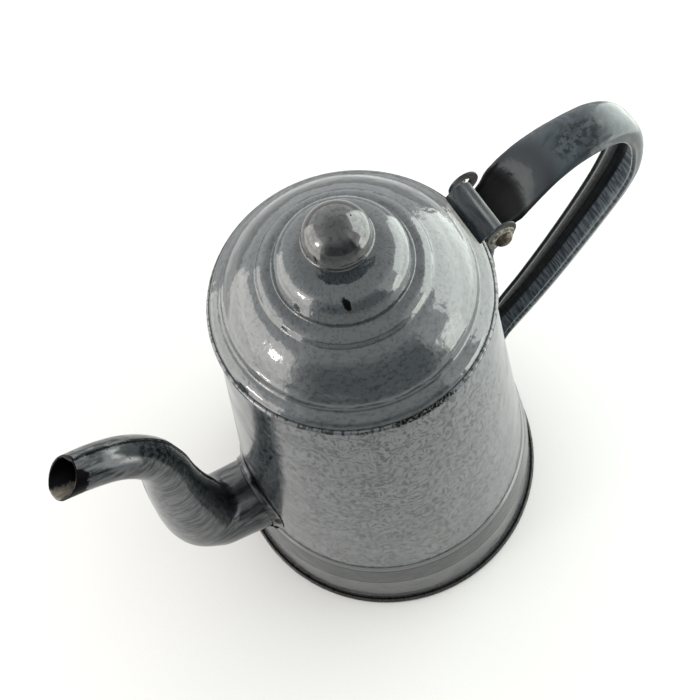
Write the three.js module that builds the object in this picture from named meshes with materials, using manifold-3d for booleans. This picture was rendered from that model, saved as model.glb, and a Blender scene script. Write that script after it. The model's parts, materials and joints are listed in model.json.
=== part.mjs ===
// Enamelled sheet-steel coffee pot: a tapered body on a seamed base, a bent pouring spout,
// a strap handle and a stepped lid that turns on a pin between two ears.
//
// Millimetres, +Z up, origin on the table under the pot's axis.
// +X runs to the handle and -X to the spout.
import * as THREE from "three";
import { mergeVertices } from "three/addons/utils/BufferGeometryUtils.js";
import Module from "manifold-3d";

const wasm = await Module();
wasm.setup();

// Sheet and clearances
const sheet = 0.9; // enamelled sheet steel
const gap = 0.3; // free space left between two seated pieces
const overrun = 5; // how far a cutting solid runs past what it cuts
const roundSegments = 36; // facets of a full turn on the large shells
const smallSegments = 16; // facets of a full turn on rivets and pins

// Body: a straight cone with a wired mouth
const bodyBottomZ = 22;
const bodyTopZ = 200.4; // centre height of the rolled mouth edge
const mouthR = 51; // outside of the wall just under the rolled edge
const bodyLowR = 73.8; // outside of the wall at its lower edge
const mouthRollR = 1.5;
const lowQuarter = 60; // degrees under the level where an edge's rounding starts
const mouthRollEnd = -70; // degrees at which the roll stops, under its outer side

// Base: a flared band lapped over the wall, and a flat pan seamed under the band
const bandTopZ = 47.7;
const bandStripHeight = 17.2; // strip along the band's top, whose lower edge stands proud
const bandStripOut = 0.7; // how far that edge stands proud
const seamHeight = 3.1;
const seamTurn = 0.7; // how far the band's foot turns out into the seam
const panRimWidth = 11; // flat rim that the pot stands on
const panRingWidth = 38; // raised ring pressed in the pan, inside that rim
const panRingRise = 1.2;
const panRingSlope = 3;

// Spout
const spoutRootZ = 61.7; // where the spout's axis meets the wall
const spoutOut = 54; // from the wall to the end of the axis
const spoutRise = 126;
const spoutRootR = 18.5;
const spoutKneeR = 17.2;
const spoutTipR = 7.3;
const spoutTilt = 16; // degrees that the root tube climbs
const spoutKneeOutShare = 0.36;
const spoutSides = 16;
const seamGap = 0.3; // slit between the two pressed halves
const tipCutTilt = 48; // degrees that the mouth leans back from upright
const tipCutShare = 1.005; // where the mouth plane crosses the axis, of spoutOut
const collarWidth = 2.6;
// Axis of the riser from the knee to the tip: outward share of spoutOut and climb share of spoutRise
const riserShares = [
  [0.36, 0.052],
  [0.455, 0.11],
  [0.487, 0.18],
  [0.495, 0.29],
  [0.495, 0.405],
  [0.48, 0.535],
  [0.457, 0.655],
  [0.457, 0.74],
  [0.478, 0.815],
  [0.545, 0.885],
  [0.645, 0.94],
  [0.79, 0.98],
  [1.01, 1.01],
  [1.28, 1.02],
];
// Radius along the riser: 1 at the knee and 0 at the tip
const riserRadiusShares = [1, 0.91, 0.83, 0.72, 0.55, 0.39, 0.27, 0.18, 0.15, 0.12, 0.1, 0.08, 0.04, 0];

// Strainer: holes punched in the wall behind the spout
const strainerHoleR = 2;
const strainerPitch = 6.4;
const strainerRings = 2;

// Lid
const lidOverhang = 0.9; // how far the lid's edge stands outside the wall under the rolled edge
const lidRise = 36.6; // from the lid's edge to the crown under the knob
const lidCollarDepth = 8.2; // how far the inner collar reaches into the mouth
const lidCollarLean = 1.1; // how much narrower the collar is at its lower edge
const lidCollarMouthGap = 0.9;
// Outside of the lid from its edge to the crown, in three pressed steps:
// shares of lidR and lidRise
const lidSkirtShares = [[1, 0], [0.975, 0.058], [0.93, 0.1], [0.895, 0.13], [0.879, 0.2]];
const lidDomeShares = [
  [0.874, 0.226], [0.858, 0.246], [0.818, 0.325], [0.748, 0.44], [0.665, 0.54], [0.592, 0.595],
];
const lidRingShares = [[0.573, 0.648], [0.53, 0.682], [0.472, 0.69]];
const lidBellShares = [[0.462, 0.735], [0.428, 0.85], [0.372, 0.935], [0.3, 0.972], [0.23, 0.985], [0.189, 1]];

// Knob: a hollow ball crimped on a short neck
const knobR = 11.9;
const knobAboveCrown = 5.7; // centre of the ball over the crown
const neckR = 7.9;
const neckHeight = 2.6;
const neckLip = 1.2;

// Hinge
const pinOut = 5; // pin axis outside the wall under the rolled edge
const pinUp = 8.4; // pin axis over the centre of the rolled edge
const pinR = 1.3;
const pinFit = 0.15; // running clearance round the pin
const knuckleR = 2.5;
const leafSideGap = 0.4; // running gap between the leaf and each ear
const leafSheet = 1.05;
const leafReach = 8.2; // how far the leaf's foot runs in from the pin axis
const leafDrop = 0.6; // how far the leaf's foot lies under the pin axis
const leafCrown = 3.2; // how far the leaf's rounded top rises over the pin axis
const earOuterHalf = 12.9;
const earSheet = 1.1;
const earR = 6.2;
const earNeckShares = [-0.42, -1.3]; // corner of the ear's neck, from its centre, of earR
const earFootAngle = -80; // degrees at which the ear's round edge meets its neck
const earLegLow = 11; // how far the ears' legs reach under the rolled edge
const earLean = 0.3; // how far the ears' centre lies outside the pin axis
const wornHoleR = 2.5; // the far ear's hole is worn oval
const wornHoleOut = 0.5;
const wornHoleUp = 0.8;
const bracketLow = 22; // how far the bracket's plate reaches under the rolled edge
const pinHeadR = 3.5;
const pinHeadHeight = 2.6;
const pinTailR = 1.9;
const pinTailLength = 0.9;
const washerR = 5;
const washerSheet = 0.8;

// Handle: a channel strap whose ends lie flat on the wall
const strapSheet = 1.2;
const strapTopZ = 227;
const strapFootZ = 66;
const strapOut = 74.7; // greatest distance from the wall's line
const strapTab = 14; // flat length at each end
const strapSteps = 34;
const sectionSteps = 9;
const sectionRoundness = 0.62; // 1 is an ellipse, and less is squarer

// Back of the strap between its two flat ends, from the upper one to the lower one: outward share
// of strapOut from the wall's line, and height share between strapFootZ and strapTopZ
const strapShares = [
  [0.037, 0.81],
  [0.095, 0.848],
  [0.158, 0.881],
  [0.2, 0.9],
  [0.249, 0.921],
  [0.328, 0.948],
  [0.423, 0.974],
  [0.54, 0.993],
  [0.668, 1],
  [0.772, 0.996],
  [0.859, 0.977],
  [0.934, 0.94],
  [0.984, 0.882],
  [1, 0.81],
  [0.984, 0.739],
  [0.921, 0.664],
  [0.832, 0.591],
  [0.608, 0.435],
  [0.369, 0.287],
  [0.166, 0.181],
  [0.058, 0.132],
];
const strapWidthFoot = 14.4;
const strapDepth = 8;
// Width (1 between the ears, 0 at the foot) and depth (1 is strapDepth, 0 is flat) along the strap,
// with its two flat ends
const strapWidthShares = [
  0.95, 1, 1, 1, 1, 1.18, 1.15, 1.03, 0.87, 0.74, 0.64, 0.56, 0.46,
  0.36, 0.32, 0.36, 0.42, 0.4, 0.33, 0.22, 0.14, 0.08, 0.02, 0, 0,
];
const strapDepthShares = [
  0, 0, 0, 0.04, 0.08, 0.14, 0.2, 0.3, 0.45, 0.6, 0.75, 0.86, 0.93,
  1, 1, 1, 1, 1, 1, 1, 1, 0.9, 0.4, 0, 0,
];

// Rivets
const rivetR = 1.6;
const rivetHeadR = 3;
const rivetHeadHeight = 1.3;
const rivetSpacing = 7;
const rivetEdge = 3.6; // from a strap's end to its first rivet

// Derived places
const wallSlope = (bodyLowR - mouthR) / (bodyTopZ - bodyBottomZ);
const wallTilt = Math.atan(wallSlope);
const rimTopZ = bodyTopZ + mouthRollR;
const bandFootR = bandR(seamHeight); // outside of the band's wall just above the seam
const flangeR = bandFootR + seamTurn;
const footR = flangeR + gap + sheet; // outside of the seam that the pot stands on
const rollHollowR = mouthRollR - sheet;
const lidR = mouthR + lidOverhang;
const lidEdgeZ = rimTopZ + gap;
const crownZ = lidEdgeZ + lidRise;
const pinX = mouthR + pinOut;
const pinZ = bodyTopZ + pinUp;
const earInnerHalf = earOuterHalf - earSheet;
const leafHalfWidth = earInnerHalf - leafSideGap;
const strapWidthTop = 2 * (earInnerHalf - gap);
const plateBack = 2 * gap + earSheet; // inner face of the strap's upper end, from the wall
const flatDepth = strapSheet + gap / 3; // height of the strap's section where it is flattened
const tiltRadians = THREE.MathUtils.degToRad(spoutTilt);

const enamelBody = { color: 0x8b9194, roughness: 0.25, metalness: 0 };
const enamelLid = { color: 0x79858b, roughness: 0.22, metalness: 0 };
const enamelDark = { color: 0x4d575e, roughness: 0.3, metalness: 0 };
const bareSteel = { color: 0x8c8573, roughness: 0.45, metalness: 1 };
const brownSteel = { color: 0x3a332d, roughness: 0.6, metalness: 0.8 };

const pot = new THREE.Group();

function add(name, geometry, finish) {
  const mesh = new THREE.Mesh(geometry, new THREE.MeshStandardMaterial(finish));
  mesh.name = name;
  pot.add(mesh);
  return mesh;
}

// Outside radius of the wall's cone at a height, continued past both of its ends
function wallR(z) {
  return mouthR + (bodyTopZ - z) * wallSlope;
}

// Outside radius of the band where it lies straight over the wall
function bandR(z) {
  return wallR(z) + gap + sheet;
}

// Solids

// Outline of points [r, z] turned about Z; the outline closes on itself or starts and ends on the axis
function turned(outline, segments = roundSegments) {
  const closed = outline[0][0] > 0;
  const points = closed ? [...outline, outline[0]] : outline;
  const profile = points.map(([r, z]) => new THREE.Vector2(r, z));
  if (THREE.ShapeUtils.area(profile) < 0) profile.reverse();
  return new THREE.LatheGeometry(profile, segments).rotateX(Math.PI / 2);
}

function signedVolume(position, index) {
  const [a, b, c] = [new THREE.Vector3(), new THREE.Vector3(), new THREE.Vector3()];
  let volume = 0;
  for (let i = 0; i < index.length; i += 3) {
    a.fromBufferAttribute(position, index[i]);
    b.fromBufferAttribute(position, index[i + 1]);
    c.fromBufferAttribute(position, index[i + 2]);
    volume += a.dot(b.cross(c));
  }
  return volume;
}

// One solid through a row of like sections. A section is a closed outline of points [y, n],
// and its frame gives an origin and the direction of n in the XZ plane.
function loft(sections, frames) {
  const count = sections[0].length;
  const points = [];
  sections.forEach((section, k) => {
    const { origin, normal } = frames[k];
    for (const [y, n] of section) {
      points.push(origin.x + normal.x * n, y, origin.z + normal.z * n);
    }
  });
  const index = [];
  for (let k = 0; k + 1 < sections.length; k += 1) {
    for (let i = 0; i < count; i += 1) {
      const j = (i + 1) % count;
      const [a, b] = [k * count + i, k * count + j];
      index.push(a, b, b + count, a, b + count, a + count);
    }
  }
  const last = (sections.length - 1) * count;
  const outline = (section) => section.map(([y, n]) => new THREE.Vector2(y, n));
  for (const [p, q, r] of THREE.ShapeUtils.triangulateShape(outline(sections[0]), [])) {
    index.push(r, q, p);
  }
  for (const [p, q, r] of THREE.ShapeUtils.triangulateShape(outline(sections.at(-1)), [])) {
    index.push(last + p, last + q, last + r);
  }
  const geometry = new THREE.BufferGeometry();
  geometry.setAttribute("position", new THREE.Float32BufferAttribute(points, 3));
  const flipped = signedVolume(geometry.attributes.position, index) < 0;
  geometry.setIndex(flipped ? index.reverse() : index);
  return geometry;
}

// Outline in the XZ plane pulled along Y from y0 to y1
function plate(shape, y0, y1) {
  const geometry = new THREE.ExtrudeGeometry(shape, {
    depth: y1 - y0,
    bevelEnabled: false,
    curveSegments: smallSegments,
  });
  return geometry.rotateX(Math.PI / 2).translate(0, y1, 0);
}

function outlineShape(points) {
  return new THREE.Shape(points.map(([x, z]) => new THREE.Vector2(x, z)));
}

function solid(geometry) {
  const bare = geometry.clone();
  bare.deleteAttribute("normal");
  bare.deleteAttribute("uv");
  const merged = mergeVertices(bare);
  return new wasm.Manifold(
    new wasm.Mesh({
      numProp: 3,
      vertProperties: new Float32Array(merged.attributes.position.array),
      triVerts: new Uint32Array(merged.index.array),
    }),
  );
}

function geometryOf(manifold) {
  const mesh = manifold.getMesh();
  const geometry = new THREE.BufferGeometry();
  geometry.setAttribute("position", new THREE.BufferAttribute(mesh.vertProperties, 3));
  geometry.setIndex(new THREE.BufferAttribute(mesh.triVerts, 1));
  return geometry;
}

function joined(...geometries) {
  return geometries.map(solid).reduce((a, b) => a.add(b));
}

function cut(geometry, ...tools) {
  const start = geometry.isBufferGeometry ? solid(geometry) : geometry;
  return tools.reduce((body, tool) => body.subtract(tool.isBufferGeometry ? solid(tool) : tool), start);
}

function cylinder(radius, length, segments = smallSegments) {
  return new THREE.CylinderGeometry(radius, radius, length, segments);
}

// Outline set in by a distance, measured square to it; the outline runs with its material on the left
function offset(outline, distance) {
  return outline.map(([r, z], i) => {
    const [r0, z0] = outline[Math.max(i - 1, 0)];
    const [r1, z1] = outline[Math.min(i + 1, outline.length - 1)];
    const length = Math.hypot(r1 - r0, z1 - z0);
    return [r - (distance * (z1 - z0)) / length, z + (distance * (r1 - r0)) / length];
  });
}

// Height of an outline that runs inward, where it passes a radius
function heightAt(outline, radius) {
  const next = Math.max(outline.findIndex(([r]) => r <= radius), 1);
  const [r0, z0] = outline[next - 1];
  const [r1, z1] = outline[next];
  return z0 + ((z1 - z0) * (radius - r0)) / (r1 - r0);
}

function arc(r, z, radius, from, to, steps) {
  return Array.from({ length: steps + 1 }, (_, i) => {
    const angle = THREE.MathUtils.degToRad(from + ((to - from) * i) / steps);
    return [r + radius * Math.cos(angle), z + radius * Math.sin(angle)];
  });
}

function smooth(points, steps) {
  const curve = new THREE.SplineCurve(points.map(([r, z]) => new THREE.Vector2(r, z)));
  return curve.getPoints(steps).map((p) => [p.x, p.y]);
}

// Value of a table of shares at t, from 0 at its first entry to 1 at its last
function along(shares, t) {
  const place = t * (shares.length - 1);
  const i = Math.min(Math.floor(place), shares.length - 2);
  return THREE.MathUtils.lerp(shares[i], shares[i + 1], place - i);
}

// Body

// The body's outside with the rolled edge, grown by a clearance, as a full solid for cutting
function bodyEnvelope(clearance) {
  const low = -overrun;
  return turned([
    [0, low],
    [wallR(low) + clearance, low],
    [wallR(bodyTopZ - mouthRollR) + clearance, bodyTopZ - mouthRollR],
    ...arc(mouthR - sheet + mouthRollR, bodyTopZ, mouthRollR + clearance, -lowQuarter, 90, 5),
    [0, rimTopZ + clearance],
  ]);
}

function rolledEdge() {
  const centreR = mouthR - sheet + mouthRollR;
  const inner = arc(centreR, bodyTopZ, rollHollowR, 180, mouthRollEnd, 8);
  const outer = arc(centreR, bodyTopZ, mouthRollR, mouthRollEnd, 180, 10);
  return [...inner, ...outer];
}

// Round bar that follows the spout's root axis, centred on the wall
function alongRoot(geometry) {
  return geometry
    .rotateZ(Math.PI / 2)
    .rotateY(tiltRadians)
    .translate(-wallR(spoutRootZ), 0, spoutRootZ);
}

function strainerHoles() {
  const holes = [];
  for (let row = -strainerRings; row <= strainerRings; row += 1) {
    const inRow = 2 * strainerRings + 1 - Math.abs(row);
    for (let i = 0; i < inRow; i += 1) {
      const across = (i - (inRow - 1) / 2) * strainerPitch;
      const up = row * strainerPitch * Math.sin(Math.PI / 3);
      const bar = cylinder(strainerHoleR, 4 * overrun, smallSegments / 2);
      bar.translate(up, 0, across);
      holes.push(alongRoot(bar));
    }
  }
  return holes;
}

// Rivet axis square to the wall at a height, on the handle's side; local X points outward
function squareToWall(geometry, z) {
  return geometry.rotateY(-wallTilt).translate(wallR(z), 0, z);
}

function rivetHole(z) {
  const bar = cylinder(rivetR + gap, 4 * overrun).rotateZ(Math.PI / 2);
  return squareToWall(bar, z);
}

const upperRivetZs = [0, 1].map((i) => bodyTopZ - bracketLow + rivetEdge + i * rivetSpacing);
const footRivetZs = [0, 1].map((i) => strapFootZ + rivetEdge + i * rivetSpacing);

function bodyShell() {
  const wall = turned([
    [bodyLowR, bodyBottomZ],
    ...rolledEdge(),
    [bodyLowR - sheet, bodyBottomZ],
  ]);
  const rivets = [...upperRivetZs, ...footRivetZs].map(rivetHole);
  return geometryOf(cut(wall, ...strainerHoles(), ...rivets));
}

function mouthWire() {
  const centreR = mouthR - sheet + mouthRollR;
  return turned(arc(centreR, bodyTopZ, rollHollowR - gap / 2, 0, 300, 5));
}

// Base

function bandOutline() {
  const stripLow = bandTopZ - bandStripHeight;
  const middleZ = (seamHeight + stripLow) / 2;
  return [
    [bandFootR, seamHeight],
    [bandR(middleZ), middleZ],
    [bandR(stripLow - bandStripOut), stripLow - bandStripOut],
    [bandR(stripLow) + bandStripOut, stripLow],
    [bandR(bandTopZ), bandTopZ],
  ];
}

// The band's upper edge is notched round the spout's collar
function baseBand() {
  const outer = bandOutline();
  const inner = offset(outer, sheet).reverse();
  inner[0] = [bandR(bandTopZ) - sheet, bandTopZ];
  const flangeLow = sheet + gap;
  const ring = turned([
    ...inner,
    [bandFootR - sheet, flangeLow],
    [flangeR, flangeLow],
    [flangeR, flangeLow + sheet],
    [bandFootR, flangeLow + sheet],
    ...outer,
  ]);
  const notch = cylinder(spoutRootR + collarWidth + 2 * gap, 2 * spoutRootR, roundSegments);
  return geometryOf(cut(ring, alongRoot(notch)));
}

function basePan() {
  const hookInner = flangeR + gap;
  const hookTop = seamHeight + gap;
  const lipR = bandFootR + 2 * gap;
  const ringOuter = footR - panRimWidth;
  const ringInner = ringOuter - panRingWidth;
  const ring = [
    [ringInner, 0],
    [ringInner + panRingSlope, panRingRise],
    [ringOuter - panRingSlope, panRingRise],
    [ringOuter, 0],
  ];
  const top = ring.map(([r, z]) => [r, z + sheet]).reverse();
  return turned([
    [0, 0],
    ...ring,
    [footR - sheet, 0],
    ...arc(footR - sheet, sheet, sheet, -lowQuarter, 0, 2),
    [footR, hookTop - sheet / 2],
    [footR - sheet / 2, hookTop],
    [lipR, hookTop],
    [lipR, hookTop - sheet],
    [hookInner, hookTop - sheet],
    [hookInner, sheet],
    ...top,
    [0, sheet],
  ]);
}

// Spout

const spoutRootX = -wallR(spoutRootZ);

function riserStations() {
  const axis = riserShares.map(([out, up]) => {
    return new THREE.Vector3(spoutRootX - out * spoutOut, 0, spoutRootZ + up * spoutRise);
  });
  const curve = new THREE.CatmullRomCurve3(axis, false, "centripetal");
  const steps = axis.length - 1;
  return Array.from({ length: steps + 1 }, (_, i) => {
    const t = i / steps;
    const tangent = curve.getTangent(t);
    const radius = THREE.MathUtils.lerp(spoutTipR, spoutKneeR, along(riserRadiusShares, t));
    return { origin: curve.getPoint(t), normal: new THREE.Vector3(-tangent.z, 0, tangent.x), radius };
  });
}

function ring(radius) {
  return Array.from({ length: spoutSides }, (_, i) => {
    const angle = (2 * Math.PI * i) / spoutSides;
    return [radius * Math.cos(angle), radius * Math.sin(angle)];
  });
}

function rootStations() {
  const direction = new THREE.Vector3(-Math.cos(tiltRadians), 0, Math.sin(tiltRadians));
  const normal = new THREE.Vector3(Math.sin(tiltRadians), 0, Math.cos(tiltRadians));
  const knee = spoutKneeOutShare * spoutOut;
  return [-spoutRootR, knee].map((distance) => ({
    origin: new THREE.Vector3(spoutRootX, 0, spoutRootZ).addScaledVector(direction, distance),
    normal,
    radius: distance < 0 ? spoutRootR : spoutKneeR,
  }));
}

// The spout's full volume, its surface set in by a distance
function spoutVolume(inset) {
  const tube = (stations) => loft(stations.map((s) => ring(s.radius - inset)), stations);
  const root = rootStations();
  const knee = root.at(-1).origin;
  const elbow = new THREE.SphereGeometry(spoutKneeR - inset, spoutSides, smallSegments);
  elbow.rotateX(Math.PI / 2).translate(knee.x, 0, knee.z);
  return joined(tube(root), elbow, tube(riserStations()));
}

// Everything beyond the slanted plane of the spout's mouth
function beyondMouth() {
  const size = spoutOut + overrun;
  const block = new THREE.BoxGeometry(size, size, size);
  const crossing = spoutRootX - tipCutShare * spoutOut;
  block.translate(-size / 2, 0, 0).rotateY(THREE.MathUtils.degToRad(tipCutTilt));
  return block.translate(crossing, 0, spoutRootZ + spoutRise);
}

function spoutSkin() {
  const inner = spoutVolume(sheet);
  return cut(spoutVolume(0), inner, beyondMouth(), bodyEnvelope(gap));
}

// One pressed half, on the side of the given sign
function spoutHalf(skin, side) {
  const size = 2 * (spoutRise + spoutOut);
  const block = new THREE.BoxGeometry(size, size, size);
  block.translate(spoutRootX, side * (size / 2 + seamGap / 2), spoutRootZ + spoutRise / 2);
  return geometryOf(skin.intersect(solid(block)));
}

function spoutCollar() {
  const inner = spoutRootR + gap;
  const outer = inner + collarWidth;
  const tube = turned([[inner, -spoutRootR], [outer, -spoutRootR], [outer, spoutRootR], [inner, spoutRootR]]);
  tube.rotateX(-Math.PI / 2);
  const skin = cut(bodyEnvelope(gap + sheet), bodyEnvelope(gap));
  return geometryOf(solid(alongRoot(tube)).intersect(skin));
}

// Lid

function lidPoints(shares) {
  return shares.map(([r, z]) => [r * lidR, lidEdgeZ + z * lidRise]);
}

function lidOutline() {
  return [
    ...smooth(lidPoints(lidSkirtShares), 4),
    ...smooth(lidPoints(lidDomeShares), 5),
    ...smooth(lidPoints(lidRingShares), 3),
    ...smooth(lidPoints(lidBellShares), 7),
  ];
}

function lidDome() {
  const outer = lidOutline();
  const inner = offset(outer, sheet).reverse();
  inner[inner.length - 1] = [lidR - sheet, lidEdgeZ];
  return turned([
    ...outer,
    [neckR, crownZ],
    [neckR, crownZ + neckHeight - sheet / 2],
    [neckR + neckLip, crownZ + neckHeight - sheet / 2],
    [neckR + neckLip, crownZ + neckHeight],
    [neckR - sheet, crownZ + neckHeight],
    [neckR - sheet, crownZ - sheet],
    ...inner,
  ]);
}

function lidCollar() {
  const underSkirt = offset(smooth(lidPoints(lidSkirtShares), 4), sheet + gap);
  const topR = mouthR - sheet - lidCollarMouthGap;
  const topZ = heightAt(underSkirt, topR);
  const lowR = topR - lidCollarLean;
  const lowZ = rimTopZ - lidCollarDepth;
  return turned([
    [lowR, lowZ],
    [topR, rimTopZ],
    [topR, topZ],
    [topR - sheet, topZ],
    [topR - sheet, rimTopZ],
    [lowR - sheet, lowZ],
  ]);
}

function lidKnob() {
  const centreZ = crownZ + knobAboveCrown;
  const lipZ = crownZ + gap;
  const lipTop = lipZ + sheet;
  const angleAt = (radius, z) => THREE.MathUtils.radToDeg(Math.asin((z - centreZ) / radius));
  const innerR = knobR - sheet;
  const outer = arc(0, centreZ, knobR, angleAt(knobR, lipZ), 90, 10);
  const inner = arc(0, centreZ, innerR, 90, angleAt(innerR, lipTop), 8);
  outer[outer.length - 1][0] = 0;
  inner[0][0] = 0;
  return turned(
    [...inner, [neckR + gap, lipTop], [neckR + gap, lipZ], ...outer],
    roundSegments / 2,
  );
}

// Hinge

function pinBore(radius) {
  return cylinder(radius, 8 * leafHalfWidth).translate(pinX, 0, pinZ);
}

// The lid's outside grown by a clearance, as a full solid for cutting
function lidEnvelope(clearance) {
  const outer = offset(lidOutline(), -clearance);
  return turned([[0, crownZ], ...outer.reverse(), [lidR + clearance, lidEdgeZ], [0, lidEdgeZ]]);
}

// A leaf that curls over the pin from the lid's skirt
function hingeLeaf() {
  const footX = pinX - leafReach;
  const top = smooth([
    [footX, pinZ - leafDrop + gap],
    [pinX - leafReach * 0.8, pinZ + leafCrown * 0.4],
    [pinX - leafReach * 0.55, pinZ + leafCrown * 0.8],
    [pinX - leafReach * 0.25, pinZ + leafCrown],
    [pinX, pinZ + knuckleR],
  ], 8);
  const under = offset(top, -leafSheet).reverse();
  const sheetPiece = plate(outlineShape([...top, ...under]), -leafHalfWidth, leafHalfWidth);
  const knuckle = cylinder(knuckleR, 2 * leafHalfWidth).translate(pinX, 0, pinZ);
  const leaf = joined(sheetPiece, knuckle);
  return geometryOf(cut(leaf, pinBore(pinR + pinFit), lidEnvelope(gap)));
}

// Pin with a domed head on the near side and a small upset tail on the far side
function hingePin() {
  const seat = earOuterHalf + gap + washerSheet + gap;
  const tail = earOuterHalf + gap;
  const dome = arc(0, 0, 1, 0, 90, 4).map(([r, z]) => [r * pinHeadR, seat + z * pinHeadHeight]);
  dome[dome.length - 1][0] = 0;
  const outline = [
    [0, -tail - pinTailLength],
    [pinTailR, -tail - pinTailLength],
    [pinTailR, -tail],
    [pinR, -tail],
    [pinR, seat],
    ...dome,
  ];
  const pin = turned(outline, smallSegments);
  return pin.rotateX(Math.PI / 2).translate(pinX, 0, pinZ);
}

function pinWasher() {
  const inner = pinR + pinFit;
  const low = earOuterHalf + gap;
  const high = low + washerSheet;
  const disc = turned([[inner, low], [washerR, low], [washerR, high], [inner, high]], 2 * smallSegments);
  return disc.rotateX(Math.PI / 2).translate(pinX, 0, pinZ);
}

// Rounded ear with a narrow neck and a leg that runs down along the bracket's plate
function earShape(holeR, holeX, holeZ) {
  const centreX = pinX + earLean;
  const legLow = bodyTopZ - earLegLow;
  const legInner = wallR(legLow) - overrun;
  const [neckX, neckZ] = earNeckShares;
  const shape = new THREE.Shape();
  shape.moveTo(legInner, legLow);
  shape.lineTo(wallR(legLow) + gap, legLow);
  shape.lineTo(centreX + neckX * earR, pinZ + neckZ * earR);
  shape.absarc(centreX, pinZ, earR, THREE.MathUtils.degToRad(earFootAngle), Math.PI, false);
  shape.lineTo(centreX - earR, bodyTopZ);
  shape.lineTo(legInner, bodyTopZ - 2 * mouthRollR);
  shape.closePath();
  const hole = new THREE.Path();
  hole.absarc(holeX, holeZ, holeR, 0, 2 * Math.PI, true);
  shape.holes.push(hole);
  return shape;
}

function hingeBracket() {
  const nearEar = plate(earShape(pinR + pinFit, pinX, pinZ), -earOuterHalf, -earOuterHalf + earSheet);
  const wornHole = earShape(wornHoleR, pinX + wornHoleOut, pinZ + wornHoleUp);
  const farEar = plate(wornHole, earOuterHalf - earSheet, earOuterHalf);
  const low = bodyTopZ - bracketLow;
  const high = bodyTopZ - 2 * mouthRollR;
  const block = new THREE.BoxGeometry(mouthR, 2 * earOuterHalf, high - low);
  block.translate(mouthR, 0, (low + high) / 2);
  const skin = cut(bodyEnvelope(gap + earSheet), bodyEnvelope(gap));
  const backPlate = solid(block).intersect(skin);
  const bracket = backPlate.add(solid(nearEar)).add(solid(farEar));
  return geometryOf(cut(bracket, bodyEnvelope(gap), lidEnvelope(gap), ...upperRivetZs.map(rivetHole)));
}

// Handle

function strapCurve() {
  const tabLow = bodyTopZ - bracketLow;
  const footBack = gap + flatDepth;
  const bow = strapShares.map(([out, up]) => [
    out * strapOut,
    THREE.MathUtils.lerp(strapFootZ, strapTopZ, up),
  ]);
  const places = [
    [plateBack, tabLow],
    [plateBack, tabLow + strapTab],
    ...bow,
    [footBack, strapFootZ + strapTab],
    [footBack, strapFootZ],
  ];
  const points = places.map(([out, z]) => new THREE.Vector3(wallR(z) + out, 0, z));
  return new THREE.CatmullRomCurve3(points, false, "centripetal");
}

// Channel section: a rounded back at n = 0 and two flanges that reach down to n = -depth
function channel(width, depth) {
  const half = width / 2;
  const bend = (t, w, d) => {
    const angle = Math.PI * t;
    const y = w * Math.sign(Math.cos(angle)) * Math.abs(Math.cos(angle)) ** sectionRoundness;
    return [y, -depth + d * Math.sin(angle) ** sectionRoundness];
  };
  const steps = Array.from({ length: sectionSteps + 1 }, (_, i) => i / sectionSteps);
  const outer = steps.map((t) => bend(t, half, depth));
  const inner = steps.map((t) => bend(1 - t, half - strapSheet, depth - strapSheet));
  return [...outer, ...inner];
}

function strapSections() {
  const curve = strapCurve();
  const sections = [];
  const frames = [];
  for (let i = 0; i <= strapSteps; i += 1) {
    const t = i / strapSteps;
    const tangent = curve.getTangent(t);
    const width = THREE.MathUtils.lerp(strapWidthFoot, strapWidthTop, along(strapWidthShares, t));
    const depth = THREE.MathUtils.lerp(flatDepth, strapDepth, along(strapDepthShares, t));
    sections.push(channel(width, depth));
    frames.push({ origin: curve.getPoint(t), normal: new THREE.Vector3(-tangent.z, 0, tangent.x) });
  }
  return { sections, frames };
}

function handleStrap() {
  const { sections, frames } = strapSections();
  const holes = [...upperRivetZs, ...footRivetZs].map(rivetHole);
  const seat = solid(bodyEnvelope(gap));
  return geometryOf(cut(loft(sections, frames), seat, ...holes));
}

// Round-headed rivets through the wall and what lies on it, up to `stack` outside the wall
function rivets(zs, stack) {
  const dome = arc(0, 0, 1, 0, 90, 3).map(([r, z]) => [r * rivetHeadR, stack + z * rivetHeadHeight]);
  dome[dome.length - 1][0] = 0;
  const tail = -sheet - gap;
  const outline = [
    [0, tail - sheet],
    [rivetHeadR * 0.8, tail - sheet],
    [rivetHeadR, tail],
    [rivetR, tail],
    [rivetR, stack],
    ...dome,
  ];
  return zs.map((z) => {
    const rivet = turned(outline, smallSegments).rotateY(Math.PI / 2);
    return squareToWall(rivet, z);
  });
}

add("body_shell", bodyShell(), enamelBody);
add("mouth_wire", mouthWire(), bareSteel);
add("base_band", baseBand(), enamelBody);
add("base_pan", basePan(), enamelBody);

const skin = spoutSkin();
add("spout_near_half", spoutHalf(skin, -1), enamelDark);
add("spout_far_half", spoutHalf(skin, 1), enamelDark);
add("spout_collar", spoutCollar(), enamelDark);

add("lid_dome", lidDome(), enamelLid);
add("lid_collar", lidCollar(), enamelLid);
add("lid_knob", lidKnob(), enamelLid);
add("lid_hinge_leaf", hingeLeaf(), enamelLid);
add("hinge_pin", hingePin(), brownSteel);
add("pin_washer", pinWasher(), bareSteel);
add("hinge_bracket", hingeBracket(), enamelDark);

add("handle_strap", handleStrap(), enamelDark);
const upperStack = plateBack + flatDepth + gap;
rivets(upperRivetZs, upperStack).forEach((rivet, i) => add(`bracket_rivet_${i + 1}`, rivet, enamelDark));
const footStack = flatDepth + 2 * gap;
rivets(footRivetZs, footStack).forEach((rivet, i) => add(`foot_rivet_${i + 1}`, rivet, enamelDark));

export default pot;
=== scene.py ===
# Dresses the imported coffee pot: fine shells over its solids, mottled enamel with worn edges,
# and the photograph's viewing angle and soft light. Sizes are in millimetres.
import json
import random
from math import asin, atan, cos, degrees, exp, hypot, pi, radians, sin, sqrt

import bmesh
import bpy
import numpy as np
from mathutils import Matrix, Vector


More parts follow.
